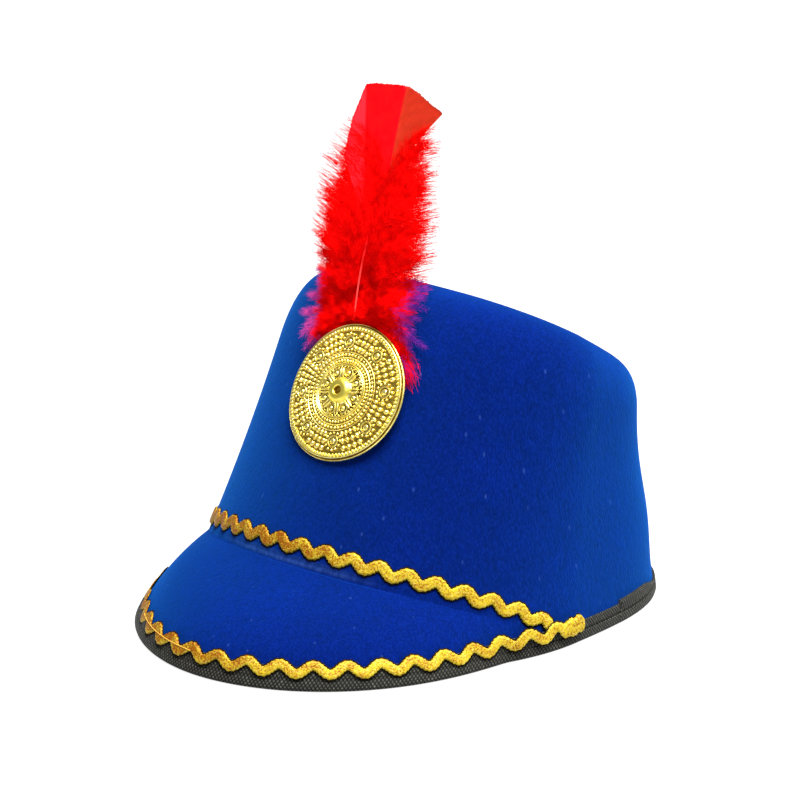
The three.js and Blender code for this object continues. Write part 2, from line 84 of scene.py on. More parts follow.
def add_node(
    tree: Tree,
    kind: str,
    inputs: Mapping[str | int | tuple[int, ...], object] | None = None,
    **settings: object,
) -> Node:
    """Add a shader node with its settings, and set or link its inputs.

    Args:
        tree: Node tree to add to.
        kind: Type of the node, without the words that all types start with.
        inputs: Value of each input, by name or number, or a tuple of values by a tuple of
            numbers. A socket is linked, and so is the first output in use of a node.
        settings: Properties of the node itself.

    Returns:
        The new node.
    """
    node = tree.nodes.new("ShaderNode" + kind)
    for name, value in settings.items():
        setattr(node, name, value)
    for key, value in (inputs or {}).items():
        pairs = zip(key, value) if isinstance(key, tuple) else [(key, value)]
        for socket, part in pairs:
            if isinstance(part, bpy.types.Node):
                part = next(output for output in part.outputs if output.enabled)
            if isinstance(part, bpy.types.NodeSocket):
                tree.links.new(part, node.inputs[socket])
            else:
                node.inputs[socket].default_value = part
    return node


def select_only(*pieces: Piece) -> None:
    """Select the given objects and nothing else; the first one is active."""
    bpy.ops.object.select_all(action="DESELECT")
    for piece in pieces:
        piece.select_set(True)
    bpy.context.view_layer.objects.active = pieces[0]


def added(name: str, operator: Callable[..., object], **settings: object) -> Piece:
    """Add a primitive with nothing else selected.

    Args:
        name: Name of the new object and of its mesh.
        operator: Operator that adds the primitive.
        settings: Settings of the operator.

    Returns:
        The new object.
    """
    bpy.ops.object.select_all(action="DESELECT")
    operator(**settings)
    piece = bpy.context.object
    piece.name = name
    piece.data.name = name
    return piece


def modify(piece: Piece, kind: str, **settings: object) -> None:
    """Give a piece a modifier and apply it.

    Args:
        piece: Mesh object to change.
        kind: Type of the modifier.
        settings: Settings of the modifier.
    """
    modifier = piece.modifiers.new(kind.lower(), kind)
    for name, value in settings.items():
        setattr(modifier, name, value)
    select_only(piece)
    bpy.ops.object.modifier_apply(modifier=modifier.name)


def weld(piece: Piece, distance: float = 1e-6, least_edge: float = 1e-8) -> None:
    """Merge a piece's points that meet and turn its faces outwards.

    Args:
        piece: Mesh object to weld.
        distance: Greatest distance between points that merge, in metres.
        least_edge: Length under which an edge is dissolved, in metres.
    """
    select_only(piece)
    bpy.ops.object.mode_set(mode="EDIT")
    bpy.ops.mesh.select_all(action="SELECT")
    bpy.ops.mesh.remove_doubles(threshold=distance)
    bpy.ops.mesh.dissolve_degenerate(threshold=least_edge)
    bpy.ops.mesh.select_all(action="SELECT")
    bpy.ops.mesh.normals_make_consistent(inside=False)
    bpy.ops.object.mode_set(mode="OBJECT")
    bpy.ops.object.shade_smooth()


def points_of(piece: Piece) -> Array:
    """Read the places of a mesh object's points."""
    flat = np.empty(3 * len(piece.data.vertices), dtype=np.float32)
    piece.data.vertices.foreach_get("co", flat)
    return flat.reshape(-1, 3).astype(float)


def move_points(piece: Piece, points: Array) -> None:
    """Move a mesh object's points to new places, in metres."""
    piece.data.vertices.foreach_set("co", points.astype(np.float32).ravel())
    piece.data.update()


def shaped_grid(name: str, table: Array, lengths: Array | None = None) -> Piece:
    """Add a grid of quads and move its points to a table of places.

    Args:
        name: Name of the new object.
        table: Places in millimetres, as rows by columns by 3. A closed form repeats its
            first row or column at its end, and the two are welded.
        lengths: Distances in millimetres along the columns and the rows, for the UV map.

    Returns:
        The new object, welded, with its faces outwards.
    """
    rows, columns = table.shape[:2]
    size = {"x_subdivisions": columns - 1, "y_subdivisions": rows - 1, "size": 1}
    piece = added(name, bpy.ops.mesh.primitive_grid_add, **size)
    flat = points_of(piece)
    column = np.rint((flat[:, 0] + 0.5) * (columns - 1)).astype(int)
    row = np.rint((flat[:, 1] + 0.5) * (rows - 1)).astype(int)
    if lengths is not None:
        corners = np.empty(len(piece.data.loops), dtype=np.int32)
        piece.data.loops.foreach_get("vertex_index", corners)
        uv = lengths[row[corners], column[corners]] * MM
        piece.data.uv_layers.active.data.foreach_set("uv", uv.astype(np.float32).ravel())
    move_points(piece, table[row, column] * MM)
    weld(piece)
    return piece


def turned(name: str, profile: Table, segments: int) -> Piece:
    """Turn a profile round the Z axis, ring by ring, and close both its ends.

    Args:
        name: Name of the new object.
        profile: Rows of reach and height in millimetres.
        segments: Number of points in each ring.

    Returns:
        The new object.
    """
    reach, height = profile[0]
    start = {"radius": reach * MM, "location": (0, 0, height * MM), "fill_type": "NGON"}
    piece = added(name, bpy.ops.mesh.primitive_circle_add, vertices=segments, **start)
    bpy.ops.object.mode_set(mode="EDIT")
    bpy.ops.mesh.select_all(action="SELECT")
    for next_reach, next_height in profile[1:]:
        climb = (0, 0, (next_height - height) * MM)
        bpy.ops.mesh.extrude_region_move(TRANSFORM_OT_translate={"value": climb})
        bpy.ops.transform.resize(value=(next_reach / reach, next_reach / reach, 1))
        reach, height = next_reach, next_height
    bpy.ops.object.mode_set(mode="OBJECT")
    bpy.ops.object.transform_apply()
    return piece


def beside_axis(reach: float, height: float, around: float) -> Vector:
    """Place beside the Z axis, in metres, from millimetres and a turn about the axis."""
    return Vector((-reach * math.sin(around), reach * math.cos(around), height)) * MM


def bead(
    reach: float,
    height: float,
    size: tuple[float, float, float],
    turn: float = 0.0,
    around: float = 0.0,
) -> Piece:
    """Add a rounded bead, flattened or stretched, beside the Z axis.

    Args:
        reach: Distance from the axis, in millimetres.
        height: Height of its middle, in millimetres.
        size: Half sizes across the reach, along it and upwards, in millimetres.
        turn: Turn of the bead itself, in radians.
        around: Turn of its place about the axis, in radians.

    Returns:
        The new object.
    """
    piece = added(
        "bead",
        bpy.ops.mesh.primitive_uv_sphere_add,
        segments=8,
        ring_count=6,
        radius=MM,
        location=beside_axis(reach, height, around),
        rotation=(0, 0, turn + around),
        scale=size,
    )
    bpy.ops.object.transform_apply()
    return piece


def hoop(reach: float, height: float, radius: float, wire: float, around: float = 0.0) -> Piece:
    """Add a small raised hoop beside the Z axis.

    Args:
        reach: Distance of its middle from the axis, in millimetres.
        height: Height of its middle, in millimetres.
        radius: Radius of the hoop, in millimetres.
        wire: Radius of its section, in millimetres.
        around: Turn of its place about the axis, in radians.

    Returns:
        The new object.
    """
    piece = added(
        "hoop",
        bpy.ops.mesh.primitive_torus_add,
        major_segments=20,
        minor_segments=6,
        major_radius=radius * MM,
        minor_radius=wire * MM,
        location=beside_axis(reach, height, around),
    )
    bpy.ops.object.transform_apply()
    return piece


def ring_of(piece: Piece, count: int) -> Piece:
    """Repeat a piece evenly round the Z axis.

    Args:
        piece: Piece that lies beside the axis, its origin on the axis.
        count: Number of places.

    Returns:
        The same object, now with all the copies in its mesh.
    """
    bpy.ops.object.empty_add(rotation=(0, 0, 2 * math.pi / count))
    turn = bpy.context.object
    bpy.context.view_layer.update()
    offset = {"use_relative_offset": False, "use_object_offset": True, "offset_object": turn}
    modify(piece, "ARRAY", count=count, **offset)
    bpy.data.objects.remove(turn)
    return piece


def ribbons(name: str, spines: Array, halves: Array) -> Piece:
    """Add many separate ribbons as one object: one strip, repeated and then shaped.

    Args:
        name: Name of the new object.
        spines: Middle lines in millimetres, as ribbons by points by 3.
        halves: Half widths, as vectors in millimetres, in the same shape.

    Returns:
        The new object.
    """
    count, steps = spines.shape[:2]
    apart = 2
    size = {"x_subdivisions": 1, "y_subdivisions": steps - 1, "size": 1}
    piece = added(name, bpy.ops.mesh.primitive_grid_add, **size)
    offset = {"use_relative_offset": False, "use_constant_offset": True}
    modify(piece, "ARRAY", count=count, constant_offset_displace=(apart, 0, 0), **offset)
    flat = points_of(piece)
    ribbon = np.rint(flat[:, 0] / apart).astype(int)
    side = np.sign(flat[:, 0] - apart * ribbon)
    step = np.rint((flat[:, 1] + 0.5) * (steps - 1)).astype(int)
    move_points(piece, (spines[ribbon, step] + side[:, None] * halves[ribbon, step]) * MM)
    return piece


def joined(name: str, pieces: Sequence[Piece]) -> Piece:
    """Join pieces into one object.

    Args:
        name: Name of the joined object.
        pieces: Mesh objects, which all end up in the first.

    Returns:
        The joined object.
    """
    select_only(*pieces)
    bpy.ops.object.join()
    piece = bpy.context.object
    piece.name = name
    piece.data.name = name
    return piece


def dress(piece: Piece, finish: Finish, slot: str, *nodes: str) -> Piece:
    """Give a finished piece its material and its place in the frame.

    Args:
        piece: Finished mesh object.
        finish: Finish of its surface.
        slot: Material slot of the record that it stands for; passed on, not used.
        nodes: Nodes of the frame that it replaces.

    Returns:
        The same object.
    """
    piece.data.materials.clear()
    piece.data.materials.append(finish.material())
    return ride_in(piece, slot, *nodes)


def ride_in(piece: Piece, slot: str, *nodes: str) -> Piece:
    """Give a piece that has its materials its place in the frame.

    Args:
        piece: Finished mesh object.
        slot: Material slot of the record that it stands for; not used.
        nodes: Nodes of the frame that it replaces.

    Returns:
        The same object.
    """
    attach(piece, BODY)
    if nodes:
        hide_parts(*nodes)
    return piece


def unit(vectors: Array) -> Array:
    """Scale vectors to a length of one."""
    return vectors / np.linalg.norm(vectors, axis=-1, keepdims=True)


def smoothstep(value: Array, start: float | Array, end: float | Array) -> Array:
    """Climb smoothly from 0 at the start to 1 at the end."""
    share = np.clip((value - start) / (end - start), 0, 1)
    return share * share * (3 - 2 * share)


def hump(value: Array, rise: Pair, fall: Pair) -> Array:
    """Climb smoothly from 0 to 1 over the rise, and back to 0 over the fall."""
    return smoothstep(value, *rise) * (1 - smoothstep(value, *fall))


def bell(value: Array, middle: float, spread: float | Array) -> Array:
    """Follow a bell curve with a height of 1 at its middle."""
    return np.exp(-(((value - middle) / spread) ** 2))


def mix(first: Array | float, second: Array | float, share: Array | float) -> Array:
    """Find the value a given share of the way from the first to the second."""
    return first + (second - first) * share


def outline(table: Table) -> Callable[[Array], Array]:
    """Make a function that reads an outline given as rows of place and size."""
    places, sizes = zip(*table)
    return lambda place: np.interp(place, places, sizes)


def run_along(points: Array, axis: int = 0) -> Array:
    """Measure the distances run along one axis of a table of points."""
    steps = np.linalg.norm(np.diff(points, axis=axis), axis=-1)
    start = np.zeros_like(steps.take([0], axis))
    return np.concatenate([start, np.cumsum(steps, axis=axis)], axis=axis)


def bezier(line: Sequence[Array], t: Array) -> Array:
    """Find points on a cubic curve."""
    start, first, second, end = line
    rest = 1 - t
    return start * rest**3 + first * 3 * t * rest**2 + second * 3 * t * t * rest + end * t**3


# ---------------------------------------------------------------- the hat's outer face


@dataclass(frozen=True)
class HatFace:
    """Outer face of the felt, as a surface over an angle and a share t.

    Angle 0 is the front and +90 degrees the wearer's left. The share runs from 0 at the
    edge over the crease and the shoulder to 1 at the crown's middle.
    """

    shift: float = 14.7
    base: Pair = (90.1, 93.0)
    top: Pair = (77.0, 45.7)
    top_set_back: float = 34.7
    top_heights: Pair = (142.3, 86.0)
    top_dome: float = 1.5
    roundness: Pair = (1.9, 3.08)
    wall_hollow: float = 2.7
    side_swell: float = 2.4
    side_swell_height: Pair = (33.0, 22.0)
    side_swell_angles: Pair = (1.3, 2.1)
    shoulder: Pair = (18.6, 10.2)
    shoulder_drop: float = 1.4
    peak_reach: float = 29.9
    peak_half_angle: float = math.radians(68.8)
    peak_narrowing: float = 1.24
    peak_slopes: Pair = (math.radians(21.5), math.radians(65.1))
    peak_fullness: float = 0.38
    fold_height: float = 33.2
    fold_half_angle: float = math.radians(83.3)
    fold_flatness: float = 0.735
    crease_lowest: float = 11.0
    crease_drop: float = 0.6
    crease_half_angle: float = math.radians(60)
    rim_height: float = 1.2
    rim_turn: float = 0.04
    crease_at: float = 0.4
    shoulder_at: float = 0.7
    top_at: float = 0.9
    samples: int = 176
    step: float = 1e-3

    def oval(self, angle: Array, half_width: float, half_length: float) -> Array:
        """Find points of a rounded oval, rounder at the front than at the back."""
        front, back = self.roundness
        power = 2 / np.where(np.cos(angle) > 0, front, back)
        x = half_width * np.sign(np.sin(angle)) * np.abs(np.sin(angle)) ** power
        y = -half_length * np.sign(np.cos(angle)) * np.abs(np.cos(angle)) ** power
        return np.stack([x, y], axis=-1)

    def outward(self, angle: Array) -> Array:
        """Find the level directions that point away from the head."""
        width, length = self.base
        away = [length * np.sin(angle), -width * np.cos(angle), np.zeros_like(angle)]
        return unit(np.stack(away, axis=-1))

    @property
    def top_centre(self) -> Array:
        """Middle of the crown's flat top, before it is domed."""
        return np.array([0.0, self.top_set_back, sum(self.top_heights) / 2])

    def top_height(self, angle: Array) -> Array:
        """Find the height of the crown's top edge, before it is rounded."""
        front, back = self.top_heights
        behind = self.oval(angle, *self.top)[..., 1] / self.top[1]
        return (front + back) / 2 - (front - back) / 2 * behind

    def wall(self, angle: Array, height: Array) -> Array:
        """Find points of the crown's wall.

        Args:
            angle: Angles round the hat.
            height: Heights above the table.

        Returns:
            Rows of x, y and z, before the shift that centres the whole hat.
        """
        low = self.oval(angle, *self.base)
        high = self.oval(angle, *self.top) + np.array([0.0, self.top_set_back])
        top = self.top_height(angle)
        climb = np.clip(height / top, 0, 1)
        level = mix(low, high, climb[..., None])
        points = np.concatenate([level, (climb * top)[..., None]], axis=-1)
        pull = -self.wall_hollow * 4 * climb * (1 - climb)
        sides = smoothstep(np.abs(angle), *self.side_swell_angles)
        pull = pull + self.side_swell * bell(climb * top, *self.side_swell_height) * sides
        return points + self.outward(angle) * pull[..., None]

    @staticmethod
    def front_share(angle: Array, half_angle: float, power: float) -> Array:
        """Share of a swell that is full at the front and gone at a half angle."""
        turn = math.pi / 2 * np.minimum(np.abs(angle) / half_angle, 1)
        return np.maximum(np.cos(turn), 0) ** power

    def fold(self, angle: Array) -> Array:
        """Height at which the crown starts to turn into the peak."""
        return self.fold_height * self.front_share(angle, self.fold_half_angle, self.fold_flatness)

    def crease(self, angle: Array) -> Array:
        """Height of the pressed crease, a little below the fold."""
        drop = self.crease_drop * self.front_share(angle, self.crease_half_angle, 1)
        return (self.fold(angle) ** 4 + self.crease_lowest**4) ** 0.25 - drop

    def _peak(self, angle: Array, share: Array) -> Array:
        """Find points of the peak, which is a curve from its edge to the crease.

        Args:
            angle: Angles round the hat.
            share: Shares of the way from the edge to the crease.

        Returns:
            Rows of x, y and z.
        """
        away = self.outward(angle)
        reach = self.peak_reach * self.front_share(angle, self.peak_half_angle, self.peak_narrowing)
        crease = self.wall(angle, self.crease(angle))
        edge = self.wall(angle, np.full_like(angle, self.rim_height)) + away * reach[..., None]
        span = np.linalg.norm(crease - edge, axis=-1, keepdims=True) * self.peak_fullness
        straight = unit(edge - crease)
        curved = np.sqrt(reach / self.peak_reach)[..., None]
        leave, arrive = [
            mix(straight, away * math.cos(tilt) - [0, 0, math.sin(tilt)], curved) * span
            for tilt in self.peak_slopes
        ]
        return bezier((edge, edge - arrive, crease + leave, crease), share[..., None])

    def _shoulder(self, angle: Array, share: Array) -> Array:
        """Find points of the rounded shoulder, from the wall to the top.

        Args:
            angle: Angles round the hat.
            share: Shares of the way from the wall to the top.

        Returns:
            Rows of x, y and z.
        """
        size = self._shoulder_size(angle)
        rim = self.oval(angle, *self.top) + [0, self.top_set_back]
        corner = np.concatenate([rim, self.top_height(angle)[..., None]], axis=-1)
        foot = self.wall(angle, self.top_height(angle) - self.shoulder_drop * size)
        inner = unit(self.top_centre - corner) * size[..., None] + corner
        t = share[..., None]
        return foot * (1 - t) ** 2 + corner * 2 * t * (1 - t) + inner * t * t

    def _shoulder_size(self, angle: Array) -> Array:
        """Reach of the shoulder's rounding, largest at the front."""
        middle, front_extra = self.shoulder
        return middle + front_extra * np.cos(angle)

    def point(self, angle: Array, t: Array) -> Array:
        """Find points of the face.

        Args:
            angle: Angles round the hat.
            t: Shares of the way from the edge to the crown's middle.

        Returns:
            Rows of x, y and z, in millimetres in the frame of the whole hat.
        """
        angle, t = np.broadcast_arrays(np.asarray(angle, float), np.asarray(t, float))
        peak = self._peak(angle, np.clip(t, 0, self.crease_at) / self.crease_at)
        high = self.top_height(angle) - self.shoulder_drop * self._shoulder_size(angle)
        climb = np.clip((t - self.crease_at) / (self.shoulder_at - self.crease_at), 0, 1)
        wall = self.wall(angle, mix(self.crease(angle), high, climb))
        turn = np.clip((t - self.shoulder_at) / (self.top_at - self.shoulder_at), 0, 1)
        shoulder = self._shoulder(angle, turn)
        inward = np.clip((t - self.top_at) / (1 - self.top_at), 0, 1)[..., None]
        top = mix(shoulder, self.top_centre, inward)
        top = top + np.array([0, 0, self.top_dome]) * (1 - (1 - inward) ** 2)
        bands = [t <= self.crease_at, t <= self.shoulder_at, t <= self.top_at]
        chosen = np.select([band[..., None] for band in bands], [peak, wall, shoulder], top)
        return chosen + np.array([0, self.shift, 0])

    def normal(self, angle: Array, t: Array) -> Array:
        """Find the outward directions of the face, which lie level at the very edge.

        Args:
            angle: Angles round the hat.
            t: Shares of the way from the edge to the crown's middle.

        Returns:
            Rows of x, y and z, of a length of one.
        """
        step = self.step
        angle, t = np.broadcast_arrays(np.asarray(angle, float), np.asarray(t, float))
        place = np.clip(t, step, 1 - 2 * step)
        along = self.point(angle + step, place) - self.point(angle - step, place)
        up = self.point(angle, place + step) - self.point(angle, place - step)
        across = unit(np.cross(along, up))
        across[..., 2] *= smoothstep(t, 0, self.rim_turn)
        return unit(across)

    def place_from_edge(self, angle: Array, distance: Array) -> Array:
        """Find where the face has run a distance up from its edge."""
        shares = np.linspace(0, self.shoulder_at, self.samples)
        runs = run_along(self.point(angle[:, None], shares[None, :]), axis=1)
        distance = np.broadcast_to(distance, angle.shape)
        return np.array([np.interp(far, run, shares) for far, run in zip(distance, runs)])

    def place_at_height(self, angle: Array, height: Array) -> Array:
        """Find where the face reaches a height above the table."""
        shares = np.linspace(0, self.shoulder_at, self.samples)
        columns = self.point(angle[:, None], shares[None, :])[..., 2]
        return np.array([np.interp(high, column, shares) for high, column in zip(height, columns)])

    def wall_y(self, x: Array, z: Array) -> Array:
        """Find the place along Y of the crown's front wall."""
        climb = np.clip(z / self.top_heights[0], 0, 1)
        half_width = mix(self.base[0], self.top[0], climb)
        sine = np.clip(np.abs(x) / half_width, 0, 0.98) ** (self.roundness[0] / 2)
        return self.wall(np.arcsin(sine), z)[..., 1] + self.shift


FACE = HatFace()
FELT = 2.2


# ---------------------------------------------------------------- finishes


@dataclass(frozen=True)
class Finish:
    """Finish of a surface, made into a material by its own nodes.

    Sizes of its patterns are in millimetres. A field of four numbers holds the limits
    between which a pattern's values are read, and what they become.
    """

    name: str

    def material(self) -> bpy.types.Material:
        """Make the material, or find the one that was made before.

        Returns:
            The material.
        """
        made = bpy.data.materials.get(self.name)
        if made:
            return made
        made = bpy.data.materials.new(self.name)
        made.use_nodes = True
        made.node_tree.nodes.clear()
        add_node(made.node_tree, "OutputMaterial", {"Surface": self.shader(made.node_tree)})
        return made

    def shader(self, tree: Tree) -> Node:
        """Build the nodes of the surface and return its shader."""
        raise NotImplementedError


@dataclass(frozen=True)
class NeedleFelt(Finish):
    """Polyester needle felt, pressed hot over a block.

    The short loose fibres scatter light at glancing angles, which gives the paler edges,
    and tangle in small clumps, which gives the mottled colour and the soft matt grain. The
    colour is painted darker in the clumps' hollows, a painted shade, and paler on the raised
    fibre ends, a painted highlight.
    The fibres are drawn coarser than they are, so that they show.
    """

    name: str = "moulded_needle_felt"
    ground: str = "#000550"
    # The next two are painted light: shade in the clumps' hollows, highlight on the raised fibres.
    hollow_shade: str = "#00023e"
    raised: str = "#061a6e"
    # Paler blue of the lint specks, and of the pressed band, where it is a painted sheen.
    pressed: str = "#2a407e"
    sheen: str = "#1c90ff"
    nap: tuple[float, float, float] = (1.0, 1.0, 0.4)
    fibre: float = 0.75
    fibre_limits: Limits = (0.42, 0.76, 0.0, 0.55)
    fibre_depth: float = 0.25
    clump: float = 2.2
    clump_limits: Limits = (0.34, 0.66, 0.0, 1.0)
    clump_depth: float = 0.5
    drift: float = 26.0
    drift_limits: Limits = (0.3, 0.7, 0.88, 1.12)
    lint_gap: float = 6.5
    lint_limits: Limits = (0.04, 0.1, 0.4, 0.0)
    # Where the pressed band's painted sheen lies, and how the clumps break it up.
    band_foot: Pair = (0.2, 1.0)
    band_top: Pair = (1.2, 4.2)
    band_sides: Pair = (22.0, 52.0)
    band_share: float = 0.75
    sheen_breakup_limits: Limits = (0.35, 0.6, 0.2, 1.0)

    def _body(self, tree: Tree, fibres: Node, clumps: Node, place: Socket) -> Node:
        """Colour the fibres: painted shade in the hollows, painted highlight on loose ends, slow
        drifts.

        Args:
            tree: Node tree to add to.
            fibres: Pattern of the single fibres.
            clumps: Pattern of the clumps.
            place: Place on the piece.

        Returns:
            The node that gives the colour.
        """
        drift = {"Vector": place, "Scale": 1 / (self.drift * MM), "Detail": 2}
        slow = add_node(tree, "TexNoise", drift)
        level = add_node(tree, "MapRange", {"Value": slow, FROM_TO: self.drift_limits})
        dense = add_node(tree, "MapRange", {"Value": clumps, FROM_TO: self.clump_limits})
        loose = add_node(tree, "MapRange", {"Value": fibres, FROM_TO: self.fibre_limits})
        # Where the clumps' relief is low the colour is darker: painted shade.
        body = (dense, srgb(self.hollow_shade), srgb(self.ground))
        matted = add_node(tree, "Mix", {BLEND: body}, data_type="RGBA")
        # Where the fibres' relief is high the colour is paler: a painted highlight.
        ends = (loose, matted, srgb(self.raised))
        napped = add_node(tree, "Mix", {BLEND: ends}, data_type="RGBA")
        return add_node(tree, "HueSaturation", {"Color": napped, "Value": level})

    def _pressed_sheen_share(self, tree: Tree, clumps: Node) -> Node:
        """Find the band the mould pressed just above the crease, at the front: a painted sheen.

        Args:
            tree: Node tree to add to.
            clumps: Pattern of the clumps, which break the band up.

        Returns:
            The node that gives the band's share of the colour.
        """
        run = add_node(tree, "SeparateXYZ", {0: add_node(tree, "UVMap", uv_map="UVMap")})
        side = add_node(tree, "Math", {0: run.outputs[0]}, operation="ABSOLUTE")
        foot, top, sides = [
            tuple(end * MM for end in ends)
            for ends in (self.band_foot, self.band_top, self.band_sides)
        ]
        share: Node | None = None
        for source, limits in (
            (run.outputs[1], (*foot, 0, 1)),
            (run.outputs[1], (*top, 1, 0)),
            (side, (*sides, self.band_share, 0)),
            (clumps, self.sheen_breakup_limits),
        ):
            part = add_node(tree, "MapRange", {"Value": source, FROM_TO: limits})
            both = {0: share, 1: part}
            share = add_node(tree, "Math", both, operation="MULTIPLY") if share else part
        return share

    def shader(self, tree: Tree) -> Node:
        """Build the mottled colour, the pale specks of lint and the fibrous grain.

        Args:
            tree: Node tree to add to.

        Returns:
            The shader.
        """
        place = add_node(tree, "TexCoord").outputs["Object"]
        nap = add_node(tree, "Mapping", {"Vector": place, "Scale": self.nap})
        fine = {"Vector": nap, "Scale": 1 / (self.fibre * MM), "Detail": 2, "Roughness": 0.6}
        fibres = add_node(tree, "TexNoise", fine)
        rough = {"Vector": nap, "Scale": 1 / (self.clump * MM), "Detail": 4, "Roughness": 0.7}
        clumps = add_node(tree, "TexNoise", rough)
        body = self._body(tree, fibres, clumps, place)
        specks = {"Vector": nap, "Scale": 1 / (self.lint_gap * MM), "Randomness": 1}
        distance = add_node(tree, "TexVoronoi", specks)
        speck = add_node(tree, "MapRange", {"Value": distance, FROM_TO: self.lint_limits})
        lint = (speck, body, srgb(self.pressed))
        linted = add_node(tree, "Mix", {BLEND: lint}, data_type="RGBA")
        # The pressed band is painted paler than the felt round it: a painted sheen.
        band = (self._pressed_sheen_share(tree, clumps), linted, srgb(self.pressed))
        grain = {"Height": fibres, "Strength": 0.55, "Distance": self.fibre_depth * MM}
        lumps = {"Height": clumps, "Strength": 0.5, "Distance": self.clump_depth * MM}
        lumps["Normal"] = add_node(tree, "Bump", grain)
        surface = {
            "Base Color": add_node(tree, "Mix", {BLEND: band}, data_type="RGBA"),
            "Roughness": 0.95,
            "Specular IOR Level": 0.02,
            "Sheen Weight": 0.25,
            "Sheen Roughness": 0.64,
            "Sheen Tint": srgb(self.sheen),
            "Normal": add_node(tree, "Bump", lumps),
        }
        return add_node(tree, "BsdfPrincipled", surface)


@dataclass(frozen=True)
class WovenTape(Finish):
    """Spun polyester tape in a twill weave, dyed black.

    Each yarn crossing is a small bump with a gap beside it. The gap is painted near black, a
    painted shade, and the yarn tops carry paler patches, a painted highlight, so the tape
    looks like a grey-black mesh. The yarns are drawn a little coarser than they are.
    """

    name: str = "black_twill_tape"
    # Near black of the gaps between the yarns: a painted shade.
    gap: str = "#030303"
    yarn: str = "#35352e"
    # Paler grey of patches on the yarn tops: a painted highlight.
    yarn_highlight: str = "#5e5e52"
    pitch: float = 1.15
    bias: float = math.radians(42)
    crossing_limits: Limits = (0.08, 0.5, 0.0, 1.0)
    yarn_depth: float = 0.22
    # Size of the painted highlight patches, and how much of the yarn they cover.
    highlight_patch: float = 2.2
    highlight_limits: Limits = (0.5, 0.75, 0.0, 0.7)

    def shader(self, tree: Tree) -> Node:
        """Build the crossed yarns, their gaps in painted shade and painted highlights on their
        tops.

        Args:
            tree: Node tree to add to.

        Returns:
            The shader.
        """
        along = add_node(tree, "UVMap", uv_map="UVMap")
        ribs = {"Distortion": 0.35, "Detail": 1, "Detail Scale": 1.5}
        # A wave texture runs through one wave in 2 pi / 20 of its scale.
        ribs["Scale"] = 2 * math.pi / (20 * self.pitch * MM)
        heights = []
        for turn in (self.bias, -self.bias):
            turned_way = {"Vector": along, "Rotation": (0, 0, turn)}
            ribs["Vector"] = add_node(tree, "Mapping", turned_way)
            bands = add_node(tree, "TexWave", ribs, wave_type="BANDS", bands_direction="X")
            heights.append(bands.outputs["Fac"])
        crossing = add_node(tree, "Math", {(0, 1): heights}, operation="MULTIPLY")
        # Paler patches on the yarn tops: a painted highlight.
        highlight_noise = {"Vector": along, "Scale": 1 / (self.highlight_patch * MM), "Detail": 3}
        highlight_patch = add_node(tree, "TexNoise", highlight_noise)
        highlighted = add_node(tree, "MapRange", {"Value": highlight_patch, FROM_TO: self.highlight_limits})
        yarns = (highlighted, srgb(self.yarn), srgb(self.yarn_highlight))
        yarn = add_node(tree, "Mix", {BLEND: yarns}, data_type="RGBA")
        covered = add_node(tree, "MapRange", {"Value": crossing, FROM_TO: self.crossing_limits})
        # Between the crossings the colour goes to the near black of the gaps: painted shade.
        weave = (covered, srgb(self.gap), yarn)
        relief = {"Height": crossing, "Strength": 0.8, "Distance": self.yarn_depth * MM}
        surface = {
            "Base Color": add_node(tree, "Mix", {BLEND: weave}, data_type="RGBA"),
            "Roughness": 0.75,
            "Specular IOR Level": 0.15,
            "Sheen Weight": 0.03,
            "Sheen Roughness": 0.5,
            "Normal": add_node(tree, "Bump", relief),
        }
        return add_node(tree, "BsdfPrincipled", surface)


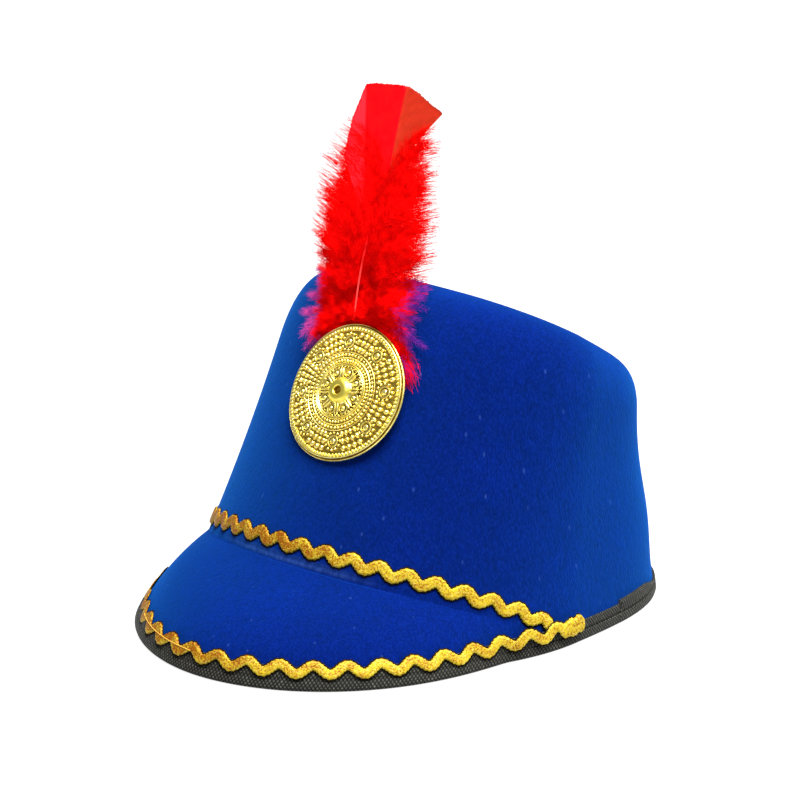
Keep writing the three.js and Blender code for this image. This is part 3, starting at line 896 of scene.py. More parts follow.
@dataclass(frozen=True)
class LurexBraid(Finish):
    """Flat braid of gold metallised yarn.

    The colour is painted paler in small glints, a painted highlight, and orange brown where
    the strands dip, a painted shade, so the gold is broken into short bright dashes. It is
    painted browner towards the wearer's right, a painted shade, and paler along the braid's
    edges, a painted highlight.
    """

    name: str = "gold_lurex_braid"
    bright: str = "#b49e1e"
    # Orange brown of the strands' dips and of the wearer's right side: a painted shade.
    deep: str = "#7c4204"
    # Paler gold of the glints: a painted highlight.
    pale: str = "#c2ae5e"
    strand: float = 0.8
    fleck_limits: Limits = (0.32, 0.6, 0.0, 0.62)
    glint_limits: Limits = (0.5, 0.7, 0.0, 0.6)
    drift: float = 4.5
    # Painted shade: the braid is browner towards the wearer's right, fading out over this reach.
    right_shade: float = 0.32
    right_shade_over: float = 34.0
    top_width: float = 6.0
    # Shares of the top's width over which the edges turn paler: a painted highlight.
    edge_highlight: Pair = (0.28, 0.4)
    edge_highlight_gold: float = 0.3
    gold_limits: Limits = (0.48, 1.12, 0.0, 1.0)
    relief: float = 0.3
    metallic: float = 0.2
    roughness: float = 0.45
    specular: float = 0.12

    def _gold_share(self, tree: Tree, fleck: Node, along: Node, place: Socket) -> Node:
        """Find where the yarn is gold and where it is brown.

        Args:
            tree: Node tree to add to.
            fleck: Pattern of the strands.
            along: Distances along the braid and round its section.
            place: Place on the piece.

        Returns:
            The node that gives the gold's share of the colour.
        """
        # Low places of the strands' relief take the brown: a painted shade in the dips.
        grain = add_node(tree, "MapRange", {"Value": fleck, FROM_TO: self.fleck_limits})
        around = add_node(tree, "SeparateXYZ", {0: along}).outputs[1]
        middle = {0: around, 1: self.top_width / 2 * MM}
        from_middle = add_node(tree, "Math", middle, operation="SUBTRACT")
        aside = add_node(tree, "Math", {0: from_middle}, operation="ABSOLUTE")
        # The braid's edges are painted paler: a painted highlight.
        start, end = (self.top_width * part * MM for part in self.edge_highlight)
        edges = {"Value": aside, FROM_TO: (start, end, 0, self.edge_highlight_gold)}
        slow = {"Vector": place, "Scale": 1 / (self.drift * MM), "Detail": 2}
        right = add_node(tree, "SeparateXYZ", {0: place}).outputs[0]
        # The braid is painted browner towards the wearer's right: a painted shade.
        right_shade_limits = (0, self.right_shade_over * MM, -self.right_shade, 0)
        total = grain
        for part in (
            add_node(tree, "TexNoise", slow),
            add_node(tree, "MapRange", edges),
            add_node(tree, "MapRange", {"Value": right, FROM_TO: right_shade_limits}),
        ):
            total = add_node(tree, "Math", {0: total, 1: part}, operation="ADD")
        return add_node(tree, "MapRange", {"Value": total, FROM_TO: self.gold_limits})

    def shader(self, tree: Tree) -> Node:
        """Build the painted glints and the painted shade of the dips along the braid's own length.

        Args:
            tree: Node tree to add to.

        Returns:
            The shader.
        """
        along = add_node(tree, "UVMap", uv_map="UVMap")
        place = add_node(tree, "TexCoord").outputs["Object"]
        strands = {"Vector": along, "Scale": 1 / (self.strand * MM), "Detail": 1.5}
        fleck = add_node(tree, "TexNoise", {**strands, "Roughness": 0.6})
        share = self._gold_share(tree, fleck, along, place)
        gold = (share, srgb(self.deep), srgb(self.bright))
        body = add_node(tree, "Mix", {BLEND: gold}, data_type="RGBA")
        # Small glints painted in paler gold: a painted highlight.
        sparks = {"Vector": place, "Scale": 1 / (self.strand * MM), "Detail": 1}
        spark = add_node(tree, "TexNoise", sparks)
        glint = add_node(tree, "MapRange", {"Value": spark, FROM_TO: self.glint_limits})
        paled = add_node(tree, "Math", {0: share, 1: glint}, operation="MULTIPLY")
        glinting = (paled, body, srgb(self.pale))
        relief = {"Height": fleck, "Strength": 0.6, "Distance": self.relief * MM}
        surface = {
            "Base Color": add_node(tree, "Mix", {BLEND: glinting}, data_type="RGBA"),
            "Metallic": self.metallic,
            "Roughness": self.roughness,
            "Specular IOR Level": self.specular,
            "Normal": add_node(tree, "Bump", relief),
        }
        return add_node(tree, "BsdfPrincipled", surface)


@dataclass(frozen=True)
class GoldPlate(Finish):
    """Injection-moulded plastic with a bright vacuum-metallised gold coat.

    The coat is a thin mirror over a slightly uneven moulding, so highlights are bright and
    a little broken. The recesses and the hub's hole are drawn in darker, browner copies of
    the gold: painted shade.
    """

    name: str = "vacuum_metallised_gold"
    gold: str = "#f8ea94"
    deep: str = "#dcc85e"
    cloud: float = 2.4
    cloud_limits: Limits = (0.35, 0.65, 0.0, 1.0)
    polish: Pair = (0.44, 0.3)
    polish_over: Pair = (0.3, 0.7)
    ripple: float = 0.7
    ripple_depth: float = 0.1

    def shader(self, tree: Tree) -> Node:
        """Build the gold coat with faint ripples and cloudier patches.

        Args:
            tree: Node tree to add to.

        Returns:
            The shader.
        """
        place = add_node(tree, "TexCoord").outputs["Object"]
        patches = {"Vector": place, "Scale": 1 / (self.cloud * MM), "Detail": 3}
        cloud = add_node(tree, "TexNoise", patches)
        clear = add_node(tree, "MapRange", {"Value": cloud, FROM_TO: self.cloud_limits})
        coat = (clear, srgb(self.deep), srgb(self.gold))
        polish = {"Value": cloud, FROM_TO: (*self.polish_over, *self.polish)}
        waves = {"Vector": place, "Scale": 1 / (self.ripple * MM), "Detail": 2}
        ripple = {"Height": add_node(tree, "TexNoise", waves), "Strength": 0.12}
        surface = {
            "Base Color": add_node(tree, "Mix", {BLEND: coat}, data_type="RGBA"),
            "Metallic": 1.0,
            "Roughness": add_node(tree, "MapRange", polish),
            "Normal": add_node(tree, "Bump", {**ripple, "Distance": self.ripple_depth * MM}),
        }
        return add_node(tree, "BsdfPrincipled", surface)


@dataclass(frozen=True)
class DyedKeratin(Finish):
    """Acid-dyed feather keratin: clean strands with a strong even dye.

    The dye is drawn darker and cooler in some strands, which shows as fine streaks. The
    strands are given a painted glow in place of the light that passes through them, so
    they keep their colour in their own shade.
    """

    bright: str = "#ff0806"
    dark: str = "#e00202"
    edge: str = "#b00004"
    end: Pair = (0.97, 1.0)
    # Paler pink of a strip where light shows through the thin strands: painted light.
    through_light: str = "#ff4c60"
    through_light_share: float = 0.0
    strip_way: tuple[float, float, float] = (-1.0, 0.0, 0.0)
    strip_from: float = 0.0
    strip_blur: float = 0.5
    streak: float = 3.0
    streak_limits: Limits = (0.35, 0.6, 0.0, 1.0)
    variety: float = 0.16
    roughness: float = 0.6
    # Painted glow: the strands give out their own colour, in place of light through them.
    glow: float = 0.38
    # Brightness of the lamp-lit base colour, beside the painted glow.
    lit: float = 0.62
    shade: float = 0.0
    shade_patch: float = 7.0
    shade_limits: Pair = (0.42, 0.58)
    shade_heights: Pair = (132.0, 158.0)
    shade_above: float = 0.12
    lean: tuple[float, float, float] = (0.408, -1.02, 1.292)

    def _depth(self, tree: Tree, place: Socket) -> Node:
        """Find the strands' brightness: patches of shade low down, where they lie deep.

        Args:
            tree: Node tree to add to.
            place: Place on the piece.

        Returns:
            The node that gives the brightness.
        """
        height = add_node(tree, "SeparateXYZ", {0: place}).outputs[2]
        patches = {"Vector": place, "Scale": 1 / (self.shade_patch * MM), "Detail": 2}
        patch = add_node(tree, "TexNoise", patches)
        low, high = (height * MM for height in self.shade_heights)
        dark = {"Value": patch, FROM_TO: (*self.shade_limits, self.shade, 0)}
        deep = add_node(tree, "MapRange", dark)
        share = {"Value": height, FROM_TO: (low, high, 1, self.shade_above)}
        parts = {0: deep, 1: add_node(tree, "MapRange", share)}
        shade = add_node(tree, "Math", parts, operation="MULTIPLY")
        return add_node(tree, "Math", {0: 1.0, 1: shade}, operation="SUBTRACT")

    def _dye(self, tree: Tree, place: Socket) -> Node:
        """Colour the strands: streaks, a paler strip of painted light and the darker trimmed ends.

        Args:
            tree: Node tree to add to.
            place: Place on the piece.

        Returns:
            The node that gives the colour.
        """
        lines = {"Vector": place, "Scale": 1 / (self.streak * MM), "Detail": 3, "Roughness": 0.6}
        streaks = add_node(tree, "TexNoise", lines)
        streaked = add_node(tree, "MapRange", {"Value": streaks, FROM_TO: self.streak_limits})
        # A strip painted paler, where light shows through the thin strands: painted light.
        way = {0: place, 1: self.strip_way}
        aside = add_node(tree, "VectorMath", way, operation="DOT_PRODUCT")
        blurs = (-self.strip_blur, self.strip_blur)
        inner, outer = ((self.strip_from + blur) * MM for blur in blurs)
        strip = {"Value": aside, FROM_TO: (inner, outer, 0, self.through_light_share)}
        run = add_node(tree, "SeparateXYZ", {0: add_node(tree, "UVMap", uv_map="UVMap")})
        end = {"Value": run.outputs[1], FROM_TO: (*self.end, 0, 1)}
        colour = srgb(self.dark)
        for share, tint in (
            (streaked, self.bright),
            (add_node(tree, "MapRange", strip), self.through_light),
            (add_node(tree, "MapRange", end), self.edge),
        ):
            colour = add_node(tree, "Mix", {BLEND: (share, colour, srgb(tint))}, data_type="RGBA")
        return colour

    def shader(self, tree: Tree) -> Node:
        """Build the streaked dye and an even, soft shading.

        The strands are too fine to be shaded one by one and pass light on to each other,
        so they are shaded as a soft mass: their normals lean towards the way the feather
        faces, and they give out some of their own colour, a painted glow.

        Args:
            tree: Node tree to add to.

        Returns:
            The shader.
        """
        place = add_node(tree, "TexCoord").outputs["Object"]
        geometry = add_node(tree, "NewGeometry")
        island = geometry.outputs["Random Per Island"]
        limits = (0, 1, 1 - self.variety, 1)
        strand = add_node(tree, "MapRange", {"Value": island, FROM_TO: limits})
        parts = {0: strand, 1: self._depth(tree, place)}
        value = add_node(tree, "Math", parts, operation="MULTIPLY")
        dyed = {"Color": self._dye(tree, place), "Value": value}
        colour = add_node(tree, "HueSaturation", dyed)
        leaning = {0: geometry.outputs["Normal"], 1: self.lean}
        normal = add_node(tree, "VectorMath", leaning, operation="ADD")
        surface = {
            "Base Color": add_node(tree, "HueSaturation", {"Color": colour, "Value": self.lit}),
            "Roughness": self.roughness,
            "Specular IOR Level": 0.0,
            # The strands give out their own colour: a painted glow.
            "Emission Color": colour,
            "Emission Strength": self.glow,
            "Normal": add_node(tree, "VectorMath", {0: normal}, operation="NORMALIZE"),
        }
        return add_node(tree, "BsdfPrincipled", surface)


@dataclass(frozen=True)
class StainedQuill(Finish):
    """Hollow keratin shaft, pale pink near its root and soaked with red dye towards the tip."""

    name: str = "stained_quill"
    pale: str = "#d83c38"
    soaked: str = "#d8000c"
    change: Pair = (132.0, 152.0)

    def shader(self, tree: Tree) -> Node:
        """Build the colour's change with height, a smooth gloss and a painted glow.

        Args:
            tree: Node tree to add to.

        Returns:
            The shader.
        """
        place = add_node(tree, "TexCoord").outputs["Object"]
        height = add_node(tree, "SeparateXYZ", {0: place}).outputs[2]
        low, high = self.change
        limits = (low * MM, high * MM, 0, 1)
        share = add_node(tree, "MapRange", {"Value": height, FROM_TO: limits})
        stain = (share, srgb(self.pale), srgb(self.soaked))
        colour = add_node(tree, "Mix", {BLEND: stain}, data_type="RGBA")
        surface = {
            "Base Color": colour,
            "Roughness": 0.5,
            "Specular IOR Level": 0.08,
            # The quill gives out its own colour: a painted glow.
            "Emission Color": colour,
            "Emission Strength": 0.3,
        }
        return add_node(tree, "BsdfPrincipled", surface)


@dataclass(frozen=True)
class StudioFloor(Finish):
    """Matt white sheet of a light table, which takes a soft shadow and hardly any gloss."""

    name: str = "white_light_table"
    white: str = "#f2f2f2"
    card: str = "#7c7c7c"
    glow: float = 0.93
    tooth: float = 2.5

    def shader(self, tree: Tree) -> Node:
        """Build the plain card with a faint tooth.

        Args:
            tree: Node tree to add to.

        Returns:
            The shader.
        """
        place = add_node(tree, "TexCoord").outputs["Object"]
        tooth = add_node(tree, "TexNoise", {"Vector": place, "Scale": 1 / (self.tooth * MM)})
        relief = {"Height": tooth, "Strength": 0.05, "Distance": MM}
        surface = {
            "Base Color": srgb(self.card),
            "Roughness": 0.9,
            "Specular IOR Level": 0.1,
            "Emission Color": srgb(self.white),
            "Emission Strength": self.glow,
            "Normal": add_node(tree, "Bump", relief),
        }
        return add_node(tree, "BsdfPrincipled", surface)


FELT_FINISH = NeedleFelt()
TAPE_FINISH = WovenTape()
BRAID_FINISH = LurexBraid()
PLATE_FINISH = GoldPlate()
# Dark finish for the braid's low edge and the skirt beside it: a painted contact shadow.
EDGE_SHADOW_FINISH = LurexBraid(
    name="shadowed_braid_edge",
    bright="#1c1408",
    deep="#0a0804",
    pale="#1c1408",
    metallic=0.0,
    roughness=1.0,
    specular=0.04,
)
THREAD_FINISH = LurexBraid(
    name="gold_sewing_thread", bright="#dca43c", deep="#a86c18", right_shade=0.0
)
# Darker copy of the gold for the disc's floors: painted shade in the recesses.
RECESS_FINISH = GoldPlate(name="shaded_gold_recess", gold="#c4a848", deep="#987e30")
HUB_FINISH = GoldPlate(
    name="polished_gold_hub", gold="#f8e868", deep="#e6d050", polish=(0.45, 0.35)
)
# Darker still for the hub's hole: painted shade.
SHADED_HOLE_FINISH = GoldPlate(name="painted_shade_hub_hole", gold="#a8802c", deep="#7c5c18")
# Each glow below is a painted glow: the strands give out their own colour.
DOWN_FINISH = DyedKeratin(name="dyed_marabou_down", shade=0.55)
PINK_WISP_FINISH = DyedKeratin(
    name="thin_pink_down", bright="#e0489c", dark="#983090", edge="#b070d0", variety=0.3, glow=0.3
)
VIOLET_WISP_FINISH = DyedKeratin(
    name="thin_violet_down",
    bright="#8c2c9c",
    dark="#501880",
    edge="#6838b0",
    variety=0.4,
    glow=0.26,
)
VANE_FINISH = DyedKeratin(
    name="dyed_closed_vane",
    bright="#ff0c12",
    dark="#f20610",
    streak=5.0,
    variety=0.08,
    glow=0.42,
)
WEDGE_FINISH = DyedKeratin(
    name="dyed_vane_underside",
    bright="#bc2e1c",
    dark="#b22a18",
    edge="#902010",
    streak=5.0,
    variety=0.1,
    glow=0.34,
)
QUILL_FINISH = StainedQuill()


# ---------------------------------------------------------------- felt


class Maker(Protocol):
    """Sub-assembly of the hat, which builds its own finished pieces."""

    def build(self) -> list[Piece]:
        """Build the pieces and return them."""


@dataclass
class FeltCap:
    """Crown and peak, moulded in one piece of felt, with a crease pressed between them."""

    columns: int = 264
    stretches: tuple[tuple[float, float, int], ...] = (
        (0.0, 0.3, 22), (0.3, 0.385, 12), (0.385, 0.445, 30),
        (0.445, 0.7, 18), (0.7, 0.9, 16), (0.9, 1.0, 6),
    )
    groove: float = 0.55
    groove_width: float = 0.55
    band: float = 0.35
    band_foot: Pair = (-0.2, 0.5)
    band_top: Pair = (2.1, 3.2)
    fade: Pair = (math.radians(24), math.radians(44))

    def _rows(self) -> Array:
        """Shares of the rows, closer together beside the crease."""
        lines = [np.linspace(*stretch, endpoint=False) for stretch in self.stretches]
        return np.concatenate([*lines, [1.0]])

    @staticmethod
    def _above_crease(points: Array, rows: Array) -> Array:
        """Distances up the face from the crease, for places given as rows by columns by 3."""
        run = run_along(points)
        return run - run[int(np.argmin(np.abs(rows - FACE.crease_at)))]

    def _pressing(self, angle: Array, above: Array) -> Array:
        """Find the depth of the crease and of the flat band above it."""
        groove = self.groove * bell(above, 0, self.groove_width)
        band = self.band * hump(above, self.band_foot, self.band_top)
        return (groove + band) * (1 - smoothstep(np.abs(angle), *self.fade))

    def build(self) -> list[Piece]:
        """Shape the outer face, press the crease and give the wall its thickness.

        Returns:
            The felt cap.
        """
        angle = np.linspace(-math.pi, math.pi, self.columns + 1)
        rows = self._rows()
        points = FACE.point(angle[None, :], rows[:, None])
        points[-1] = FACE.top_centre + [0, FACE.shift, FACE.top_dome]
        outwards = FACE.normal(angle[None, :], rows[:, None])
        above = self._above_crease(points, rows)
        points = points - outwards * self._pressing(angle, above)[..., None]
        points[:, -1] = points[:, 0]
        beside = np.broadcast_to(angle * FACE.base[0], above.shape)
        cap = shaped_grid("felt_cap", points, np.stack([beside, above], axis=-1))
        modify(cap, "SOLIDIFY", thickness=FELT * MM, offset=-1)
        return [dress(cap, FELT_FINISH, "felt", "felt_body")]


# ---------------------------------------------------------------- edge tape


@dataclass
class EdgeTape:
    """Woven tape folded round the whole edge, its ends lapped at the wearer's left.

    It is sewn along a seam. The tape puckers at the stitches, and a fold is pulled in
    along the seam where the tape is lapped.
    """

    width: float = 8.3
    low_end_width: float = 6.8
    thickness: float = 0.9
    low_end_start: float = math.radians(70)
    lap_start: float = math.radians(100)
    lap_end: float = math.radians(121)
    low_step: float = 0.1
    high_step: float = 0.5
    columns: int = 900
    seam_height: float = 3.2
    seam_depth: float = 0.28
    seam_width: float = 0.55
    pulled_angles: tuple[Pair, Pair] = ((1.2, 1.35), (2.3, 2.6))
    pulled_depth: float = 0.42
    pulled_narrowing: float = 0.15
    stitch: float = 3.0
    pucker: float = 0.1
    pucker_width: float = 1.6
    play: float = 0.15
    tucked: float = 0.1
    up: tuple[float, ...] = (
        0.0, 0.06, 0.14, 0.24, 0.33, 0.37, 0.41, 0.45, 0.49, 0.54, 0.66, 0.78, 0.9, 0.97, 1.0,
    )

    def width_at(self, angle: Array) -> Array:
        """Width up the face; the end that goes under the lap sits a little lower."""
        low = smoothstep(angle, self.low_end_start, self.lap_start) * (angle < self.lap_start)
        back = smoothstep(np.abs(angle), self.lap_start + 0.2, self.lap_end + 0.2)
        far = hump(-angle, (0.12, 0.6), (1.3, 1.8))
        dip = hump(angle, (1.95, 2.2), (2.55, 2.9))
        return mix(self.width, self.low_end_width, np.maximum(low, back)) - 3.4 * far - 2.4 * dip

    def _angles(self) -> tuple[Array, Array]:
        """Angles of the columns at even spacing along the edge, and the distances run."""
        fine = np.linspace(-math.pi, math.pi, 1441)
        run = run_along(FACE.point(fine, np.zeros_like(fine)))
        even = np.interp(np.linspace(0, run[-1], self.columns + 1), run, fine)
        step = math.radians(0.04)
        ends = [self.lap_start - step, self.lap_start + step]
        angles = np.sort(np.concatenate([even, ends]))
        return angles, np.interp(angles, fine, run)

    def build(self) -> list[Piece]:
        """Sweep the folded section round the edge.

        Returns:
            The tape.
        """
        angle, run = self._angles()
        width = self.width_at(angle)
        lapped = 1 - smoothstep(angle, self.lap_end - 0.05, self.lap_end)
        lapped = (angle > self.lap_start) * lapped
        pulled = hump(angle, *self.pulled_angles)
        outside = self.thickness + self.play + self.low_step * lapped
        inside = -(FELT + self.thickness + self.play)
        stitches = np.cos(2 * math.pi * run / self.stitch)
        rows: list[Array] = []
        places = {share: FACE.place_from_edge(angle, width * share) for share in self.up}

        def layer(share: float, offset: Array | float) -> Array:
            """Lay one row of the section at a share of the width."""
            t = places[share]
            spread = np.broadcast_to(offset, angle.shape)[:, None]
            return FACE.point(angle, t) + FACE.normal(angle, t) * spread

        rows.append(layer(1.0, self.tucked))
        rows.append(layer(1.0, outside * 0.8 + self.high_step * lapped))
        for share in self.up[-2::-1]:
            from_seam = share * width - self.seam_height
            depth = (self.seam_depth + self.pulled_depth * pulled) * bell(
                from_seam, 0, self.seam_width - self.pulled_narrowing * pulled
            )
            pucker = self.pucker * stitches * bell(from_seam, 0, self.pucker_width)
            step = self.high_step * lapped * smoothstep(share, 0.62, 0.74)
            rows.append(layer(share, outside + step - depth - pucker))
        middle = (outside + inside) / 2
        half = (outside - inside) / 2
        for turn in np.radians([25, 50, 70, 90, 110, 130, 155]):
            offset = middle + half * np.cos(turn)
            low = FACE.point(angle, np.zeros_like(angle)) + FACE.outward(angle) * offset[:, None]
            low[:, 2] = FACE.rim_height * (1 - math.sin(turn) ** 0.8)
            rows.append(low)
        for share in (0, 0.14, 0.33, 0.54, 0.78, 1.0):
            rows.append(layer(share, inside))
        rows.append(layer(1.0, -(FELT + self.tucked)))
        rows.append(layer(0, -(FELT + self.tucked)))
        rows.append(layer(0, self.tucked))
        rows.append(rows[0])
        table = np.stack(rows)
        table[:, -1] = table[:, 0]
        around = run_along(table).mean(axis=1)
        lengths = np.stack(np.meshgrid(run, around), axis=-1)
        tape = shaped_grid("edge_tape", table, lengths)
        return [dress(tape, TAPE_FINISH, "edge_tape", "edge_binding")]


TAPE = EdgeTape()


# ---------------------------------------------------------------- ric-rac


class Run(Enum):
    """The two runs of ric-rac."""

    CROWN = "crown_ric_rac"
    PEAK = "peak_ric_rac"


@dataclass
class RicRac:
    """One run of ric-rac: a flat plait that waves along a line on the felt."""

    run: Run
    half_length: float
    pitch: float
    crest: float
    width: float = 4.5
    swing: float = 1.55
    thickness: float = 1.0
    strand: float = 0.8
    plait: float = 0.14
    step: float = 0.22
    # Width of the skirt beside the braid that carries the painted contact shadow.
    cross_lanes: int = 19
    shadow_skirt: float = 0.6
    thread_radius: float = 0.2
    thread_run: Pair = (0.0, 0.0)
    folded_width: float = 0.0
    above_fold: float = 5.9
    from_edge: float = 7.1
    crossing: Pair = (40.0, 31.0)
    route: dict[str, Array] = field(default_factory=dict)

    def _place(self, angle: Array) -> Array:
        """Shares t of the run's middle line."""
        low = FACE.place_from_edge(angle, np.full_like(angle, self.from_edge))
        if self.run is Run.PEAK:
            return low
        return np.maximum(FACE.place_at_height(angle, FACE.fold(angle) + self.above_fold), low)

    def _survey(self) -> None:
        """Walk the middle line and note points, directions and clearances along it."""
        angle = np.radians(np.linspace(-110, 110, 881))
        place = self._place(angle)
        points = FACE.point(angle, place)
        run = np.concatenate([[0], np.cumsum(np.linalg.norm(np.diff(points, axis=0), axis=1))])
        run -= run[len(run) // 2]
        normal = FACE.normal(angle, place)
        along = unit(np.gradient(points, axis=0))
        up = unit(np.cross(normal, along))
        edge_gap = np.linalg.norm(points - FACE.point(angle, np.zeros_like(angle)), axis=1)
        self.route = {"run": run, "point": points, "normal": normal, "up": up}
        self.route["edge"] = edge_gap[:, None]

    def _read(self, name: str, s: Array) -> Array:
        """Surveyed values at distances along the run."""
        table = self.route[name]
        return np.stack([np.interp(s, self.route["run"], column) for column in table.T], axis=-1)

    def _lift(self, s: Array) -> Array:
        """Height of the braid's underside over the felt, on felt, tape or the other run."""
        edge = self._read("edge", s)[..., 0]
        on_tape = 1 - smoothstep(edge, TAPE.width + 1.2, TAPE.width + 4.2)
        far = smoothstep(-s, 15, 60) * (self.run is Run.PEAK)
        lift = 0.1 + (TAPE.thickness + 0.2) * on_tape * (1 - 0.7 * far)
        if self.run is Run.PEAK:
            left = self.half_length - np.abs(s)
            start, end = self.crossing
            lift = lift + (self.thickness + 0.2) * (1 - smoothstep(left, end, start))
        return lift

    def on_felt(self, s: Array, across: Array, height: Array) -> Array:
        """Places at a distance along the run, to its side and above the braid's underside."""
        point = self._read("point", s)
        normal = self._read("normal", s)
        up = self._read("up", s)
        sag = across**2 / 120
        rise = self._lift(s) + height - sag
        return point + up * across[..., None] + normal * rise[..., None]

    def _plait(self, s: Array, lane: Array) -> Array:
        """Height of the crossing strands of the flat plait, from 0 to 1."""
        lean = math.radians(38)
        first = (s * math.cos(lean) + lane * math.sin(lean)) / self.strand
        second = (s * math.cos(lean) - lane * math.sin(lean)) / self.strand
        over = (np.floor(first) + np.floor(second)) % 2 < 1
        return np.where(over, np.abs(np.sin(math.pi * first)), np.abs(np.sin(math.pi * second)))

    def build(self) -> list[Piece]:
        """Sweep the plaited section along the wave and round off its ends.

        Returns:
            The braid, and its thread where it has one.
        """
        self._survey()
        s = np.arange(-self.half_length, self.half_length + self.step / 2, self.step)
        from_end = self.half_length - np.abs(s)
        folded = (1 - smoothstep(from_end, 9.5, 13)) * (self.folded_width > 0)
        turn = 2 * math.pi * (s - self.crest) / self.pitch
        wave = self.swing * np.cos(turn) * (1 - 0.85 * folded)
        slope = -self.swing * np.sin(turn) * 2 * math.pi / self.pitch * (1 - 0.85 * folded)
        stretch = np.hypot(1, slope)
        worked = np.cumsum(stretch) * self.step
        lobes = 0.35 * np.cos(2 * math.pi * (from_end - 2.4) / 4.4) * folded
        lobes = lobes + 0.13 * np.cos(2 * math.pi * worked / 1.45)
        width = self.width * (1 + self.folded_width * folded)
        taper = np.sqrt(np.clip(1 - (1 - np.clip(from_end / (0.5 * width), 0, 1)) ** 2, 0, 1))
        shares = np.sin(np.linspace(-math.pi / 2, math.pi / 2, self.cross_lanes))

        def lane_row(lane: Array, height: Array) -> Array:
            """Lay one lane of the section along the wave."""
            return self.on_felt(s - lane * slope / stretch, wave + lane / stretch, height + 0 * s)

        rows = []
        for share in shares:
            lane = share * (width / 2 + lobes) * taper
            crown = (1 - abs(share) ** 6.5) ** 0.6
            height = self.thickness * (0.25 + 0.75 * crown) * (1 + 0.6 * self.folded_width * folded)
            height = height * (1 - 0.5 * smoothstep(-s, 15, 60) * (self.run is Run.PEAK))
            strands = self.plait * self._plait(worked, lane) * crown * (1 + 1.5 * folded)
            rows.append(lane_row(lane, (height + strands) * np.sqrt(np.maximum(taper, 0.05))))
        # A skirt just past each side of the braid, at the felt, carries the painted contact shadow.
        rows.append(lane_row((width / 2 + lobes) * taper + self.shadow_skirt, 0.3))
        for share in shares[::-4][1:-1]:
            rows.append(lane_row(share * width / 2 * taper, 0.0))
        rows.append(lane_row(-((width / 2 + lobes) * taper + self.shadow_skirt), 0.3))
        rows.append(rows[0])
        table = np.stack(rows)
        table[:, 0] = table[:, 0].mean(axis=0)
        table[:, -1] = table[:, -1].mean(axis=0)
        around = run_along(table).mean(axis=1)
        braid = shaped_grid(self.run.value, table, np.stack(np.meshgrid(worked, around), axis=-1))
        self._paint_edge_shadow(braid, around[len(shares) - 1])
        node = "crown_braid" if self.run is Run.CROWN else "peak_braid"
        pieces = [ride_in(braid, "braid", node)]
        if self.thread_run[1] > self.thread_run[0]:
            pieces.append(self._sew())
        return pieces

    def _paint_edge_shadow(self, braid: Piece, top_width: float) -> None:
        """Give the low edge and the underside a painted contact shadow, and all above it the gold.

        Args:
            braid: The swept braid, whose UV map runs round its section.
            top_width: Distance round the section at which the gold top ends, in millimetres.
        """
        braid.data.materials.clear()
        for finish in (BRAID_FINISH, EDGE_SHADOW_FINISH):
            braid.data.materials.append(finish.material())
        places = np.empty(2 * len(braid.data.loops), dtype=np.float32)
        braid.data.uv_layers.active.data.foreach_get("uv", places)
        around = places[1::2] / MM
        first = np.empty(len(braid.data.polygons), dtype=np.int32)
        braid.data.polygons.foreach_get("loop_start", first)
        highest = np.maximum.reduceat(around, first)
        dark = (highest > top_width + 0.01).astype(np.int32)
        braid.data.polygons.foreach_set("material_index", dark)

    def _sew(self) -> Piece:
        """Lay the sewing thread where it shows, straight along the braid's middle.

        Returns:
            The thread.
        """
        radius = self.thread_radius
        pitch = 3.1
        s = np.arange(*self.thread_run, 0.42)
        dip = np.clip(np.cos(2 * math.pi * s / pitch) * 3 - 2.1, 0, 1)
        pressed = 1 - 0.5 * smoothstep(-s, 15, 60) * (self.run is Run.PEAK)
        rows = []
        for turn in np.linspace(0, 2 * math.pi, 7):
            height = (self.thickness + self.plait) * pressed + 0.1 - 0.45 * dip
            height = height + radius * math.sin(turn)
            rows.append(self.on_felt(s, np.full_like(s, radius * math.cos(turn)), height))
        table = np.stack(rows)
        table[-1] = table[0]
        run = np.broadcast_to(s, table.shape[:2])
        turns = np.broadcast_to(np.linspace(0, 1.3, 7)[:, None], table.shape[:2])
        thread = shaped_grid(self.run.value + "_thread", table, np.stack([run, turns], axis=-1))
        return dress(thread, THREAD_FINISH, "braid")


# ---------------------------------------------------------------- medallion


@dataclass(frozen=True)
class Seat:
    """Place on the front of the crown that the medallion sits on, and its directions."""

    side: float = 2.5
    height: float = 93.7
    probe: float = 0.05

    @property
    def up(self) -> Array:
        """Direction up the wall."""
        heights = np.array([self.height - self.probe, self.height + self.probe])
        low, high = FACE.wall(np.zeros(2), heights)
        return unit(high - low)

    @property
    def out(self) -> Array:
        """Direction straight out of the wall."""
        return np.cross([1.0, 0.0, 0.0], self.up)

    @property
    def point(self) -> Array:
        """Middle of the medallion's back, in millimetres."""
        return FACE.wall(np.zeros(1), np.array([self.height]))[0] + [self.side, FACE.shift, 0]

    def place(self, across: float, up: float, out: float) -> Array:
        """Point given in the seat's own directions."""
        return self.point + np.array([across, 0, 0]) + up * self.up + out * self.out

    def read(self, points: Array) -> tuple[Array, Array, Array]:
        """Distances across, up and out of points in the frame."""
        away = points - self.point
        return away[..., 0], away @ self.up, away @ self.out


SEAT = Seat()


@dataclass(frozen=True)
class BeadRow:
    """One ring of equal beads on the medallion."""

    count: int
    reach: float
    size: tuple[float, float, float]
    base: float
    turn: float = 0.0


